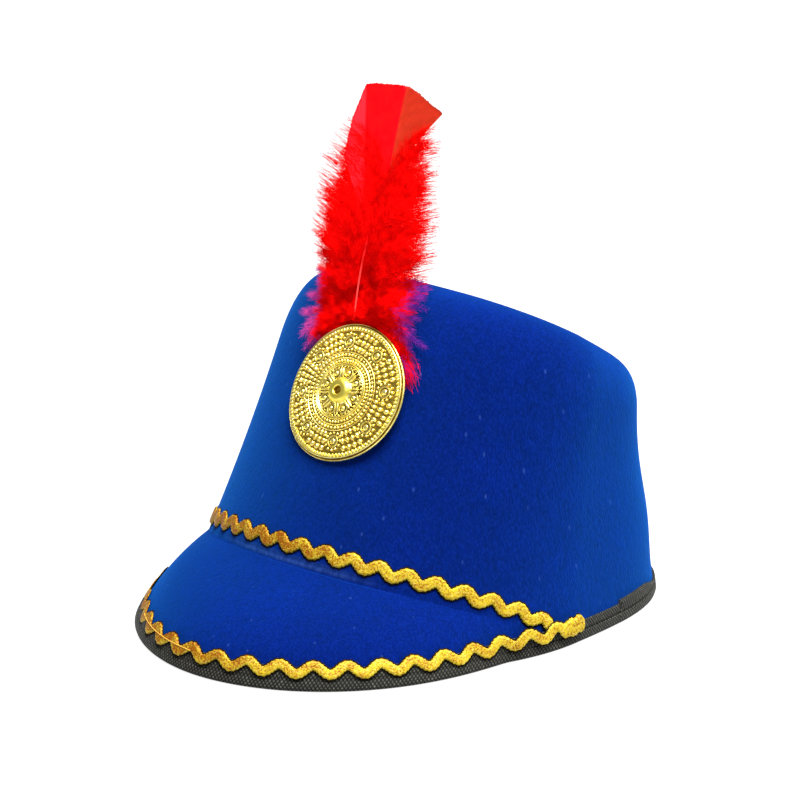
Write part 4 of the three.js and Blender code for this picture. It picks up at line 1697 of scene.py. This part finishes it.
@dataclass
class Medallion:
    """Embossed gilt disc: turned steps, rings of beads, rosettes, cabochons and a hub.

    The profile's rows are reaches and heights. The rosettes, the panels of beads between
    them, the cabochons and the arms each stand in as many places as there are folds.
    """

    radius: float = 28.1
    bend: float = 168.0
    segments: int = 128
    smooth_angle: float = math.radians(50)
    profile: Table = (
        (28.1, 0.8), (28.1, 1.1), (28.0, 1.5), (27.8, 1.65), (27.55, 1.55), (27.4, 1.15),
        (27.2, 1.1), (27.15, 1.6), (27.1, 2.1), (26.9, 2.4), (26.6, 2.45), (26.3, 2.25),
        (25.2, 2.15), (25.0, 1.95), (21.0, 2.4), (16.3, 2.8), (16.2, 3.3), (16.0, 3.4),
        (15.8, 3.3), (15.7, 2.9), (14.1, 2.9), (14.0, 3.2), (13.7, 3.35), (13.4, 3.2),
        (13.3, 2.9), (11.75, 2.9), (11.65, 3.5), (11.4, 3.75), (11.1, 3.5), (11.0, 3.0),
        (10.9, 3.5), (10.65, 3.75), (10.35, 3.5), (10.25, 2.9), (9.6, 2.6), (7.4, 2.8),
        (5.8, 3.3), (5.1, 4.2), (4.6, 4.9), (4.1, 5.35), (3.4, 5.6), (2.2, 5.7), (1.9, 5.6),
        (1.7, 5.2), (1.5, 4.8), (0.9, 4.75), (0.5, 5.05), (0.02, 5.1),
    )
    rows: tuple[BeadRow, ...] = (
        BeadRow(104, 25.75, (0.5, 0.85, 0.7), base=2.25, turn=0.35),
        BeadRow(56, 14.9, (0.66, 0.68, 0.85), base=3.0),
        BeadRow(56, 12.5, (0.58, 0.66, 0.85), base=3.0),
        BeadRow(40, 9.85, (0.58, 0.45, 0.8), base=2.9),
    )
    folds: int = 8
    panel_reaches: tuple[float, ...] = (17.7, 20.6, 23.5)
    panel_columns: tuple[int, ...] = (2, 3, 4, 5)
    columns_round: int = 56
    rosette_reach: float = 20.3
    rosette_turn: float = math.radians(12)
    rosette_ring: float = 3.45
    rosette_beads: int = 12
    cabochon_reach: float = 7.7
    cabochon_turn: float = math.radians(-10.5)
    arm_reach: float = 7.0
    arm_turns: Pair = (0.085, -0.1)
    bright_height: float = 3.15
    bright_ring: Pair = (25.1, 27.1)
    bright_rim: float = 27.4
    hub_radius: float = 4.9
    hole_radius: float = 1.72

    def _relief(self) -> list[Piece]:
        """Strike the rings of beads, the panels, the rosettes, the cabochons and the arms.

        Returns:
            The objects that make up the relief.
        """
        parts = [
            ring_of(bead(row.reach, row.base, row.size, row.turn), row.count) for row in self.rows
        ]
        step = 2 * math.pi / self.columns_round
        for reach in self.panel_reaches:
            base = 2.85 - 0.1 * (reach - 16.3)
            size = (0.047 * reach, 1.34, 1.15)
            for column in self.panel_columns:
                around = self.rosette_turn + column * step
                parts.append(ring_of(bead(reach, base, size, around=around), self.folds))
        return parts + self._rosettes() + self._cabochons()

    def _rosettes(self) -> list[Piece]:
        """Make the dished bosses, each in a hoop with tiny beads round it.

        Returns:
            The objects that make up the rosettes.
        """
        at, middle = self.rosette_turn, self.rosette_reach
        parts = [
            hoop(middle, height=2.85, radius=2.2, wire=0.42, around=at),
            bead(middle, height=2.6, size=(1.45, 1.45, 0.85), around=at),
            hoop(middle, height=3.2, radius=0.7, wire=0.26, around=at),
        ]
        for spoke in range(self.rosette_beads):
            turn = 2 * math.pi * spoke / self.rosette_beads
            reach = middle + self.rosette_ring * math.cos(turn)
            around = at + self.rosette_ring * math.sin(turn) / reach
            parts.append(bead(reach, height=2.5, size=(0.68, 0.62, 0.75), around=around))
        return [ring_of(part, self.folds) for part in parts]

    def _cabochons(self) -> list[Piece]:
        """Make the oval stones in hoops round the hub, with a split arm between each two.

        Returns:
            The objects that make up the cabochons and the arms.
        """
        at = self.cabochon_turn
        parts = [
            hoop(self.cabochon_reach, height=3.55, radius=1.85, wire=0.32, around=at),
            bead(self.cabochon_reach, height=3.3, size=(1.15, 1.3, 1.0), around=at),
        ]
        apart, splay = self.arm_turns
        for side in (-1, 1):
            around = at + math.pi / self.folds + side * apart
            arm = bead(self.arm_reach, 3.7, (0.55, 2.9, 0.9), turn=side * splay, around=around)
            parts.append(arm)
        return [ring_of(part, self.folds) for part in parts]

    def _paint_light_and_shade(self, disc: Piece) -> None:
        """Give the disc's raised steps the bright gold, and the hub and its hole their own.

        Args:
            disc: Turned disc, whose first material is the darker copy of the gold on its floors,
                a painted shade.
        """
        bright, hub, hole = 1, 2, 3
        for finish in (PLATE_FINISH, HUB_FINISH, SHADED_HOLE_FINISH):
            disc.data.materials.append(finish.material())
        # Raised steps, outer ring and rim take the bright copy, floors the darker: painted light
        # and shade.
        inner, outer = self.bright_ring
        for face in disc.data.polygons:
            reach = math.hypot(face.center.x, face.center.y) / MM
            raised = face.center.z / MM > self.bright_height or reach > self.bright_rim
            # The hub's hole takes the darkest copy of the gold: painted shade.
            if reach < self.hole_radius:
                face.material_index = hole
            elif reach < self.hub_radius:
                face.material_index = hub
            elif raised or inner < reach < outer:
                face.material_index = bright

    def build(self) -> list[Piece]:
        """Turn the disc, strike its relief, bow it to the crown and set it in its place.

        Returns:
            The medallion.
        """
        disc = turned("medallion_disc", self.profile, self.segments)
        relief = joined("relief", self._relief())
        # The disc's floors take the darker copy of the gold, a painted shade; the relief the bright
        # one.
        for part, finish in ((disc, RECESS_FINISH), (relief, PLATE_FINISH)):
            part.data.materials.append(finish.material())
        self._paint_light_and_shade(disc)
        medallion = joined("gilt_medallion", [disc, relief])
        bpy.ops.object.shade_smooth_by_angle(angle=self.smooth_angle)
        medallion.rotation_euler = (math.pi / 2, 0, 0)
        bpy.ops.object.transform_apply()
        bow = 2 * self.radius / self.bend
        modify(medallion, "SIMPLE_DEFORM", deform_method="BEND", deform_axis="Z", angle=bow)
        medallion.rotation_euler = (-math.atan2(SEAT.up[1], SEAT.up[2]), 0, 0)
        medallion.location = Vector(SEAT.point) * MM
        bpy.ops.object.transform_apply()
        return [ride_in(medallion, "medallion", "medallion")]


# ---------------------------------------------------------------- feather


@dataclass(frozen=True)
class FeatherFrame:
    """The feather's own directions: x across the vane, y up the quill, z out of its face."""

    lean: float = math.radians(20)
    twist: float = math.radians(20)
    side: float = -7.6
    lift: float = 0.2
    length: float = 93.5
    bow: float = 2.4
    bow_height: float = 60.0
    tip_lean: float = 1.6
    lean_from: float = 40.0

    @property
    def turn(self) -> Array:
        """Matrix whose columns are the feather's directions."""
        tilt = Matrix.Rotation(math.pi / 2 - self.lean, 3, "X")
        return np.array(tilt @ Matrix.Rotation(self.twist, 3, "Y"))

    @property
    def foot(self) -> Array:
        """Point where the quill leaves the back of the medallion."""
        return SEAT.place(self.side, Medallion.radius, self.lift)

    def quill_x(self, height: Array) -> Array:
        """Sideways place of the quill at a height: one bow and a slight lean at the tip."""
        bend = np.sin(math.pi * np.clip(height / self.bow_height, 0, 1))
        return -self.bow * bend - self.tip_lean * smoothstep(height, self.lean_from, self.length)

    def place(self, points: Array) -> Array:
        """Points in the frame of the whole hat, from points in the feather's own."""
        return self.foot + points @ self.turn.T


@dataclass(frozen=True)
class Clearance:
    """Room that the feather keeps: in front of the crown, and behind the medallion."""

    way: tuple[float, float, float] = (0.638, -0.704, 0.312)
    heights: Pair = (5.0, 150.0)
    above_crown: Pair = (124.0, 134.0)
    passes: int = 6
    share: float = 0.6
    back: float = 0.8
    behind: float = 0.35
    beside: float = 0.4

    def keep(self, points: Array, felt_gap: Array | float) -> Array:
        """Lift points off the crown, and pass them behind the medallion.

        Args:
            points: Places in the frame of the whole hat, in millimetres.
            felt_gap: Least distance in front of the felt.

        Returns:
            The points, moved where they have to be.
        """
        points = points.copy()
        outwards = np.array(self.way) / -self.way[1]
        for _ in range(self.passes):
            low = np.clip(points[..., 2], *self.heights)
            wall = FACE.wall_y(points[..., 0], low) - felt_gap
            covered = 1 - smoothstep(points[..., 2], *self.above_crown)
            inside = np.maximum(points[..., 1] - wall, 0) * covered
            points += self.share * inside[..., None] * outwards
        across, up, out = SEAT.read(points)
        behind = self.back - across**2 / (2 * Medallion.bend) - self.behind
        inside = np.hypot(across, up) < Medallion.radius + self.beside
        excess = np.where(inside, np.maximum(out - behind, 0), 0)
        return points - excess[..., None] * SEAT.out


PLUME = FeatherFrame()
CLEAR = Clearance()


@dataclass
class Quill:
    """Tapered shaft, from behind the medallion to the trimmed tip."""

    radii: Pair = (0.32, 0.5)
    cut_radius: float = 0.02
    cut_length: float = 0.05
    past_tip: float = 1.6
    hidden: float = 15.0
    hidden_slope: float = 0.05
    hidden_rings: int = 6
    rings: int = 90
    sides: int = 11
    in_front: float = 0.25
    buried: float = 2.2
    buried_at: Pair = (50.0, 9.0)
    forward: float = 2.6
    forward_rise: Pair = (-0.4, 1.2)
    forward_fall: Pair = (24.0, 40.0)

    def _line(self, height: Array) -> Array:
        """Find the quill's middle line, sunk into the down halfway up.

        Args:
            height: Heights up the quill, negative behind the medallion.

        Returns:
            Places in the frame of the whole hat.
        """
        root = SEAT.up - self.hidden_slope * SEAT.out
        hidden = PLUME.foot + np.minimum(height, 0)[:, None] * root
        out = self.in_front - self.buried * bell(height, *self.buried_at)
        line = np.stack([PLUME.quill_x(height), np.maximum(height, 0), out], axis=-1)
        shown = hump(height, self.forward_rise, self.forward_fall)
        middle = np.where(height[:, None] < 0, hidden, PLUME.place(line))
        return middle + self.forward * shown[:, None] * np.array(CLEAR.way)

    def build(self) -> list[Piece]:
        """Sweep a small ring along the bowed line.

        Returns:
            The quill.
        """
        top = PLUME.length + self.past_tip
        below = np.linspace(-self.hidden, -1, self.hidden_rings)
        height = np.concatenate([below, np.linspace(0, top, self.rings), [top + self.cut_length]])
        middle = self._line(height)
        radius = mix(*self.radii, np.clip(height / PLUME.length, 0, 1))
        radius[-1] = self.cut_radius
        across, out = PLUME.turn[:, 0], PLUME.turn[:, 2]
        rows = [
            middle + radius[:, None] * (math.cos(turn) * across + math.sin(turn) * out)
            for turn in np.linspace(0, 2 * math.pi, self.sides)
        ]
        rows[-1] = rows[0]
        quill = shaped_grid("quill", np.stack(rows))
        return [dress(quill, QUILL_FINISH, "quill", "feather_quill")]


@dataclass
class ClosedVane:
    """Half of the feather's firm tip: many flat barbs side by side, trimmed to an outline."""

    name: str
    side: int
    finish: Finish
    node: str
    lowest: float
    edge: Table
    top: Table
    fold: float
    spacing: float = 0.42
    leave: float = math.radians(24)
    arrive: float = math.radians(33)
    loose: float = 4.5
    thinning: float = 0.8
    steps: int = 16

    def build(self) -> list[Piece]:
        """Lay the barbs from the quill to the outline, each a little over the next.

        Returns:
            The half vane.
        """
        chance = np.random.default_rng(7 + self.side)
        start = np.arange(self.lowest, 95.0, self.spacing)
        length = np.linspace(0, 62, 400)
        lean = mix(self.leave, self.arrive, np.clip(length / 40, 0, 1))
        reach = np.concatenate([[0], np.cumsum(np.sin(lean[1:]) * np.diff(length))])
        rise = np.concatenate([[0], np.cumsum(np.cos(lean[1:]) * np.diff(length))])
        x = PLUME.quill_x(start)[:, None] + self.side * (0.15 + reach)[None, :]
        y = start[:, None] + rise[None, :]
        edge = outline(self.edge)
        top = outline(self.top)
        outside = (self.side * x > edge(y)) | (y > top(self.side * x))
        outside[:, -1] = True
        cut = length[np.argmax(outside, axis=1)]
        cut = np.maximum(cut + chance.normal(0, 0.12, len(start)), 0.6)
        share = np.linspace(0, 1, self.steps)
        along = cut[:, None] * share
        px = PLUME.quill_x(start)[:, None] + self.side * (0.15 + np.interp(along, length, reach))
        py = start[:, None] + np.interp(along, length, rise)
        wave = 0.05 * np.sin(py * 0.9 + start[:, None] * 0.4)
        pz = -self.fold * np.abs(px) - 0.15 + wave + chance.normal(0, 0.05, len(start))[:, None]
        spine = np.stack([px, py, pz], axis=-1)
        strip = np.clip((92.7 - py) * 0.4, 0, self.loose)
        from_side = edge(py) - self.side * px
        narrow = mix(self.thinning, 1.0, smoothstep(from_side, strip - 1.5, strip + 0.2))
        half = 0.5 * self.spacing * 1.8 * np.sin(lean).mean() * narrow
        direction = unit(np.gradient(spine, axis=1))
        normal = np.array([0, 0, 1.0])
        beside = unit(np.cross(direction, normal))
        tilt = 0.22 + chance.normal(0, 0.06, len(start))[:, None, None]
        halves = (beside + tilt * normal) * half[..., None]
        vane = ribbons(self.name, PLUME.place(spine), halves @ PLUME.turn.T)
        return [dress(vane, self.finish, "feather_vane", self.node)]


@dataclass
class Down:
    """Loose downy barbs on one side of the quill, each with two rows of fine barbules."""

    name: str
    side: int
    reach: Table
    rise: Table
    highest: float
    depth: Table = (
        (-20, 1.5), (4, 2.4), (10, 4), (20, 6), (30, 7.5), (42, 8), (54, 7), (66, 4), (80, 1.5),
    )
    barbs: int = 330
    points: int = 16
    barbules: int = 138
    barbule_length: float = 4.4
    barbule_half: float = 0.07
    bare_tip: float = 0.16
    bare_foot: Pair = (0.03, 0.22)
    lock: float = 5.6
    hairs: int = 240
    hair_heights: Pair = (16.0, 78.0)
    seed: int = 11
    from_share: float = 0.0
    finish: Finish = DOWN_FINISH
    nodes: tuple[str, ...] = ("feather_down",)

    def _bend(self, start: Array, tip: Array, chance: np.random.Generator) -> Array:
        """Flat middle lines that leave the quill steeply and end nearly level.

        Args:
            start: Heights on the quill.
            tip: Ends of the barbs, across and up.
            chance: Source of the small differences.

        Returns:
            Places across and up, as barbs by points by 2.
        """
        count = len(start)
        foot = np.stack([PLUME.quill_x(start), start], axis=-1)
        span = np.linalg.norm(tip - foot, axis=-1, keepdims=True)
        bearing = np.arctan2(self.side * (tip - foot)[:, 0], (tip - foot)[:, 1])
        leave = bearing - 0.3 + chance.normal(0, 0.12, count)
        arrive = np.maximum(bearing + 0.35, 1.3) + chance.normal(0, 0.22, count)
        first = np.stack([self.side * np.sin(leave), np.cos(leave)], axis=-1)
        last = np.stack([self.side * np.sin(arrive), np.cos(arrive)], axis=-1)
        t = np.linspace(self.from_share, 1, self.points)[None, :, None]
        line = (foot, foot + first * span * 0.38, tip - last * span * 0.34, tip)
        return bezier([place[:, None] for place in line], t)

    def _barbs(self) -> tuple[Array, Array]:
        """Middle lines of the barbs in the feather's own frame, and their starts.

        Returns:
            Lines, as barbs by points by 3, and the heights on the quill they start from.
        """
        chance = np.random.default_rng(self.seed)
        count = self.barbs
        place = (np.arange(count) + chance.uniform(0, 1, count)) / count
        start = mix(-1.0, self.highest, place**1.22)
        rise = outline(self.rise)(start) + chance.normal(0, 1.6, count)
        tip_y = start + rise
        lock = self.lock * (np.floor(tip_y / self.lock) + 0.5)
        tip_y = mix(tip_y, lock, mix(0.38, 0.05, smoothstep(start, 3, 16)))
        long = chance.uniform(0, 1, count) < 0.72
        full = mix(0.97, 0.86, smoothstep(start, 3, 12))
        longer = chance.uniform(-0.07, 0.04, count)
        share = np.where(long, longer, chance.uniform(-0.45, -0.05, count))
        reach = outline(self.reach)(tip_y) * (full + share)
        tip = np.stack([self.side * reach, tip_y], axis=-1)
        flat = self._bend(start, tip, chance)
        layer = chance.uniform(-1, 1, count)
        layer = np.where(tip_y > 54, -np.abs(layer) * 0.8 - 0.2, layer)
        depth = outline(self.depth)(tip_y) * layer
        swell = np.sin(np.linspace(0, 1, self.points) * math.pi * 0.62)
        z = depth[:, None] * swell[None, :]
        return np.concatenate([flat, z[..., None]], axis=-1), start

    def _hairs(self) -> Piece:
        """Bare ends of barbs that stand out past the fluff, nearly level and bent upwards."""
        chance = np.random.default_rng(self.seed + 2)
        low, high = self.hair_heights
        height = chance.uniform(low, high, self.hairs)
        tip = outline(self.reach)(height) * chance.normal(1.0, 0.035, self.hairs)
        root = tip - chance.uniform(7, 11, self.hairs)
        t = np.linspace(0, 1, 6)[None, :]
        x = self.side * mix(root[:, None], tip[:, None], t)
        drop = chance.normal(3.2, 1.2, self.hairs)[:, None]
        curl = chance.normal(0.5, 0.8, self.hairs)[:, None]
        y = height[:, None] - drop * (1 - t) ** 1.3 + curl * t**2
        z = chance.uniform(-3.5, -0.6, self.hairs)[:, None] + 0 * t
        spine = CLEAR.keep(PLUME.place(np.stack([x, y, z], axis=-1)), 0.8)
        beside = unit(np.cross(np.gradient(spine, axis=1), PLUME.turn[:, 2]))
        width = np.linspace(0.1, 0.05, 6)[None, :, None]
        return ribbons(self.name + "_hairs", spine, beside * width)

    def build(self) -> list[Piece]:
        """Grow the barbs and their barbules and keep them off the felt.

        Returns:
            The down of one side as one piece.
        """
        chance = np.random.default_rng(self.seed + 1)
        lines, start = self._barbs()
        count = len(lines)
        placed = PLUME.place(lines)
        gap = chance.uniform(0.7, 4.0, count)[:, None]
        placed = CLEAR.keep(placed, gap)
        out = PLUME.turn[:, 2]
        along = unit(np.gradient(placed, axis=1))
        beside = unit(np.cross(along, out))
        width = np.linspace(0.13, 0.05, self.points)[None, :, None]
        cores = ribbons(self.name, placed, beside * width)
        number = self.barbules
        share = (np.arange(number)[None, :] + chance.uniform(0, 1, (count, number))) / number
        share = share * (1 - self.bare_tip * chance.uniform(0.5, 1.4, (count, 1)))
        index = np.clip((share * (self.points - 1)).astype(int), 0, self.points - 2)
        part = (share * (self.points - 1) - index)[..., None]
        row = np.arange(count)[:, None]
        root = mix(placed[row, index], placed[row, index + 1], part)
        ahead = unit(mix(along[row, index], along[row, index + 1], part))
        level = unit(np.cross(ahead, out))
        side = np.where(np.arange(number)[None, :] % 2 == 0, 1.0, -1.0)
        roll = chance.normal(0, 0.75, (count, number))
        beam = side[..., None] * level * np.cos(roll)[..., None] + out * np.sin(roll)[..., None]
        bare = np.where(start[:, None] < 31, smoothstep(share, *self.bare_foot), 1.0)
        length = self.barbule_length * bare * (1 - 0.45 * share**3)
        length = length * chance.uniform(0.55, 1.1, share.shape)
        lean = np.radians(chance.uniform(42, 66, share.shape)) * (1 - 0.35 * share**4)
        first = ahead * np.cos(lean)[..., None] + beam * np.sin(lean)[..., None]
        later = ahead * np.cos(lean * 0.55)[..., None] + beam * np.sin(lean * 0.55)[..., None]
        middle = root + first * (length * 0.5)[..., None]
        end = middle + later * (length * 0.5)[..., None]
        spine = np.stack([root, middle, end], axis=-2).reshape(-1, 3, 3)
        spine = CLEAR.keep(spine, 0.45)
        flat = unit(np.cross(first, out + 0.3 * beam)).reshape(-1, 1, 3)
        fine = mix(0.45, 1.0, smoothstep(start, 0, 9))
        fine = np.repeat(fine, number)[:, None, None]
        half = self.barbule_half * np.array([1.0, 0.85, 0.25])[None, :, None] * fine
        halves = flat * half
        fluff = ribbons(self.name + "_barbules", spine, np.broadcast_to(halves, spine.shape))
        parts = [cores, fluff] + ([self._hairs()] if self.hairs else [])
        return [dress(joined(self.name, parts), self.finish, "feather_down", *self.nodes)]


@dataclass
class Wisps(Down):
    """Thin tufts round the feather's foot, through which the felt shows."""

    reach: Table = ()
    rise: Table = ()
    highest: float = 0.0
    tips: Table = ()
    nodes: tuple[str, ...] = ()
    strands: int = 7
    hairs: int = 0
    bare_foot: Pair = (0.0, 0.3)
    from_share: float = 0.58
    barbules: int = 50
    barbule_length: float = 3.4
    barbule_half: float = 0.09
    layers: Pair = (-4.0, -1.2)

    def _barbs(self) -> tuple[Array, Array]:
        """Middle lines of a few barbs for each tuft, and their starts on the quill."""
        chance = np.random.default_rng(self.seed)
        tip = np.repeat(np.array(self.tips), self.strands, axis=0)
        spread = chance.normal(0, 1.0, tip.shape)
        short = chance.uniform(0.78, 1.04, len(tip))
        tip = np.stack([tip[:, 0] * short + spread[:, 0], tip[:, 1] + spread[:, 1]], axis=-1)
        start = chance.uniform(-1, 4, len(tip)) + np.maximum(tip[:, 1], 0) * 0.3
        flat = self._bend(start, tip, chance)
        swell = np.sin(np.linspace(self.from_share, 1, self.points) * math.pi * 0.62)
        depth = chance.uniform(*self.layers, len(tip))[:, None] * swell[None, :]
        return np.concatenate([flat, depth[..., None]], axis=-1), start


# ---------------------------------------------------------------- studio


@dataclass(frozen=True)
class Softbox:
    """Square softbox that looks at the crown, with its sizes in metres and watts."""

    name: str
    place: tuple[float, float, float]
    size: float
    power: float
    aim: tuple[float, float, float] = (0.0, 0.0, 0.09)

    def build(self) -> None:
        """Hang the softbox."""
        bpy.ops.object.light_add(type="AREA", location=self.place)
        light = bpy.context.object
        light.name = self.name
        light.data.shape = "SQUARE"
        light.data.size = self.size
        light.data.energy = self.power
        way = Vector(self.aim) - Vector(self.place)
        light.rotation_euler = way.to_track_quat("-Z", "Y").to_euler()


@dataclass(frozen=True)
class Studio:
    """Plain pale floor, a white room, soft lights and the camera.

    Two softboxes hang behind, at both of the hat's sides, and one overhead. The front is
    lit by the room.
    """

    floor_size: float = 14.0
    room_light: float = 0.31
    softboxes: tuple[Softbox, ...] = (
        Softbox("back_light", (0.7, 1.8, 1.6), size=1.0, power=30),
        Softbox("right_light", (1.6, 0.9, 1.2), size=1.0, power=22),
        Softbox("top_light", (0.45, -0.1, 2.1), size=1.2, power=142),
    )
    camera_place: tuple[float, float, float] = (889.6, -976.1, 507.3)
    azimuth: float = math.radians(42.189)
    elevation: float = math.radians(18.3)
    lens: float = 156.25
    sensor: float = 36.0
    shift: Pair = (0.0162, 0.0435)
    clip: Pair = (0.05, 60.0)

    def build(self) -> None:
        """Set up the floor, the lights and the camera."""
        self._floor()
        for softbox in self.softboxes:
            softbox.build()
        self._room()
        self._camera()

    def _floor(self) -> None:
        """Lay the floor."""
        floor = added("floor", bpy.ops.mesh.primitive_plane_add, size=self.floor_size)
        floor.data.materials.append(StudioFloor().material())

    def _room(self) -> None:
        """Put a white room round the hat."""
        world = bpy.data.worlds.new("white_studio")
        world.use_nodes = True
        background = world.node_tree.nodes["Background"]
        background.inputs["Color"].default_value = srgb("#ffffff")
        background.inputs["Strength"].default_value = self.room_light
        bpy.context.scene.world = world
        bpy.context.scene.view_settings.view_transform = "Standard"

    def _camera(self) -> None:
        """Stand the camera level, in front and at the wearer's left."""
        bpy.ops.object.camera_add(location=Vector(self.camera_place) * MM)
        camera = bpy.context.object
        camera.name = "camera"
        level = math.cos(self.elevation)
        x, y = math.sin(self.azimuth) * level, -math.cos(self.azimuth) * level
        back = Vector((x, y, math.sin(self.elevation)))
        camera.rotation_euler = (-back).to_track_quat("-Z", "Y").to_euler()
        camera.data.lens = self.lens
        camera.data.sensor_width = self.sensor
        camera.data.shift_x, camera.data.shift_y = self.shift
        camera.data.clip_start, camera.data.clip_end = self.clip
        bpy.context.scene.camera = camera


# ---------------------------------------------------------------- main


def braids() -> list[Maker]:
    """Both runs of ric-rac."""
    peak = {"pitch": 12.9, "crest": 11, "width": 3.8, "swing": 1.75}
    return [
        RicRac(Run.CROWN, half_length=116.5, pitch=11.55, crest=7.8, width=4.35),
        RicRac(Run.PEAK, half_length=167.5, folded_width=0.8, thread_run=(-47, -1), **peak),
    ]


def vanes(slope: float = 0.23, inset: float = 2.8) -> list[Maker]:
    """List both halves of the feather's firm tip, with light painted along the left one's edge.

    Args:
        slope: Slope of the edge of the strip of painted light.
        inset: Distance from the quill's foot at which the strip starts.

    Returns:
        The half vanes.
    """
    way = -PLUME.turn[:, 0] - slope * PLUME.turn[:, 1]
    strip = {"strip_way": tuple(way), "strip_from": float(way @ PLUME.foot) - inset}
    left = ClosedVane(
        name="closed_vane_left",
        side=-1,
        finish=replace(VANE_FINISH, through_light_share=0.24, **strip),
        node="feather_vane_left",
        lowest=30,
        edge=(
            (30, 18.5), (55.3, 20.4), (67.4, 20.9), (78.4, 21), (90.2, 19), (92.7, 18.5),
            (96, 17.5),
        ),
        top=((0, 95.3), (4.4, 95.1), (14.5, 93.9), (18.5, 92.7), (22, 91)),
        fold=0.06,
    )
    right = ClosedVane(
        name="closed_vane_right",
        side=1,
        finish=WEDGE_FINISH,
        node="feather_vane_right",
        lowest=57.5,
        edge=((57, 13), (83.8, 15.5), (88.1, 15.4), (96, 12)),
        top=((0, 95.1), (4.7, 93.4), (10.7, 90.1), (15.3, 88.1), (17, 87)),
        fold=0.1,
        loose=0.0,
    )
    return [left, right]


def downs() -> list[Maker]:
    """List the down of both sides, and the tufts and wisps round the feather's foot.

    Returns:
        The down, from the wearer's right to the left.
    """
    thick = {"from_share": 0.0, "strands": 14, "barbules": 100, "layers": (-2.5, 0.4)}
    left = Down(
        name="down_left",
        side=-1,
        reach=(
            (-14, 15.5), (-8, 16.5), (-1.2, 17.5), (8, 18), (17.8, 20.5), (24.2, 24.2),
            (32.5, 27.4), (41.6, 28.8), (53.7, 29.6), (62, 29.5), (69, 27), (77, 24), (82, 20),
        ),
        rise=((-1, -12), (0, -3), (3, 8), (8, 18), (15, 23), (56, 23)),
        highest=53,
        barbs=350,
        barbules=128,
    )
    left_tips = ((-17.5, -12), (-17, -8), (-17, -4), (-18, 0), (-18, 5), (-18.5, 10), (-19, 15))
    left_tuft = Wisps("tuft_left_of_medallion", side=-1, seed=43, tips=left_tips, **thick)
    pink_tips = (
        (-21, 17), (-22, 12), (-22.7, 5.9), (-25.6, -1.6), (-20.9, -5.9), (-21.3, -10.1),
        (-18.4, -15.5),
    )
    pink = Wisps("wisps_left", side=-1, seed=31, finish=PINK_WISP_FINISH, tips=pink_tips)
    right = Down(
        name="down_right",
        side=1,
        reach=(
            (-20, 25), (-8.4, 24), (-1.8, 24), (0.6, 24), (7.4, 25), (14.9, 25), (20.1, 25),
            (29.9, 26.5), (38.5, 25.5), (48.3, 24), (57.4, 20), (67.7, 19.5), (73.3, 17.5),
            (84, 17.8),
        ),
        rise=((-1, -16), (0, -6), (3, 6), (8, 16), (15, 21), (40, 22), (52, 30)),
        highest=52,
        seed=23,
        barbs=350,
        barbules=128,
        barbule_length=4.7,
    )
    right_tips = (
        (31.6, -21.6), (30.5, -18.5), (29.5, -15.5), (28, -12), (26, -8.5), (24, -5), (22.5, -2),
        (23, 1), (23.5, 5), (23.5, 9), (23.5, 13), (24, 17),
    )
    right_tuft = Wisps("tuft_beside_medallion", side=1, seed=41, tips=right_tips, **thick)
    violet_tips = (
        (28, 20.2), (26.6, 15.6), (27.3, 10.9), (25.9, 5.9), (25.1, 2), (26.2, -0.9),
        (30.9, -5.9), (33.4, -16.2),
    )
    sparse = {"strands": 5, "finish": VIOLET_WISP_FINISH}
    violet = Wisps("wisps_right", side=1, seed=37, tips=violet_tips, **sparse)
    return [left, left_tuft, pink, right, right_tuft, violet]


def main() -> None:
    """Build the hat piece by piece and log the number of triangles in each piece."""
    logging.basicConfig(level=logging.INFO, format="%(message)s")
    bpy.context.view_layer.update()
    Studio().build()
    makers = [FeltCap(), TAPE, *braids(), Medallion(), Quill(), *vanes(), *downs()]
    for maker in makers:
        for piece in maker.build():
            triangles = sum(len(face.vertices) - 2 for face in piece.data.polygons)
            LOG.info("%s: %d triangles", piece.name, triangles)


if __name__ == "__main__":
    main()
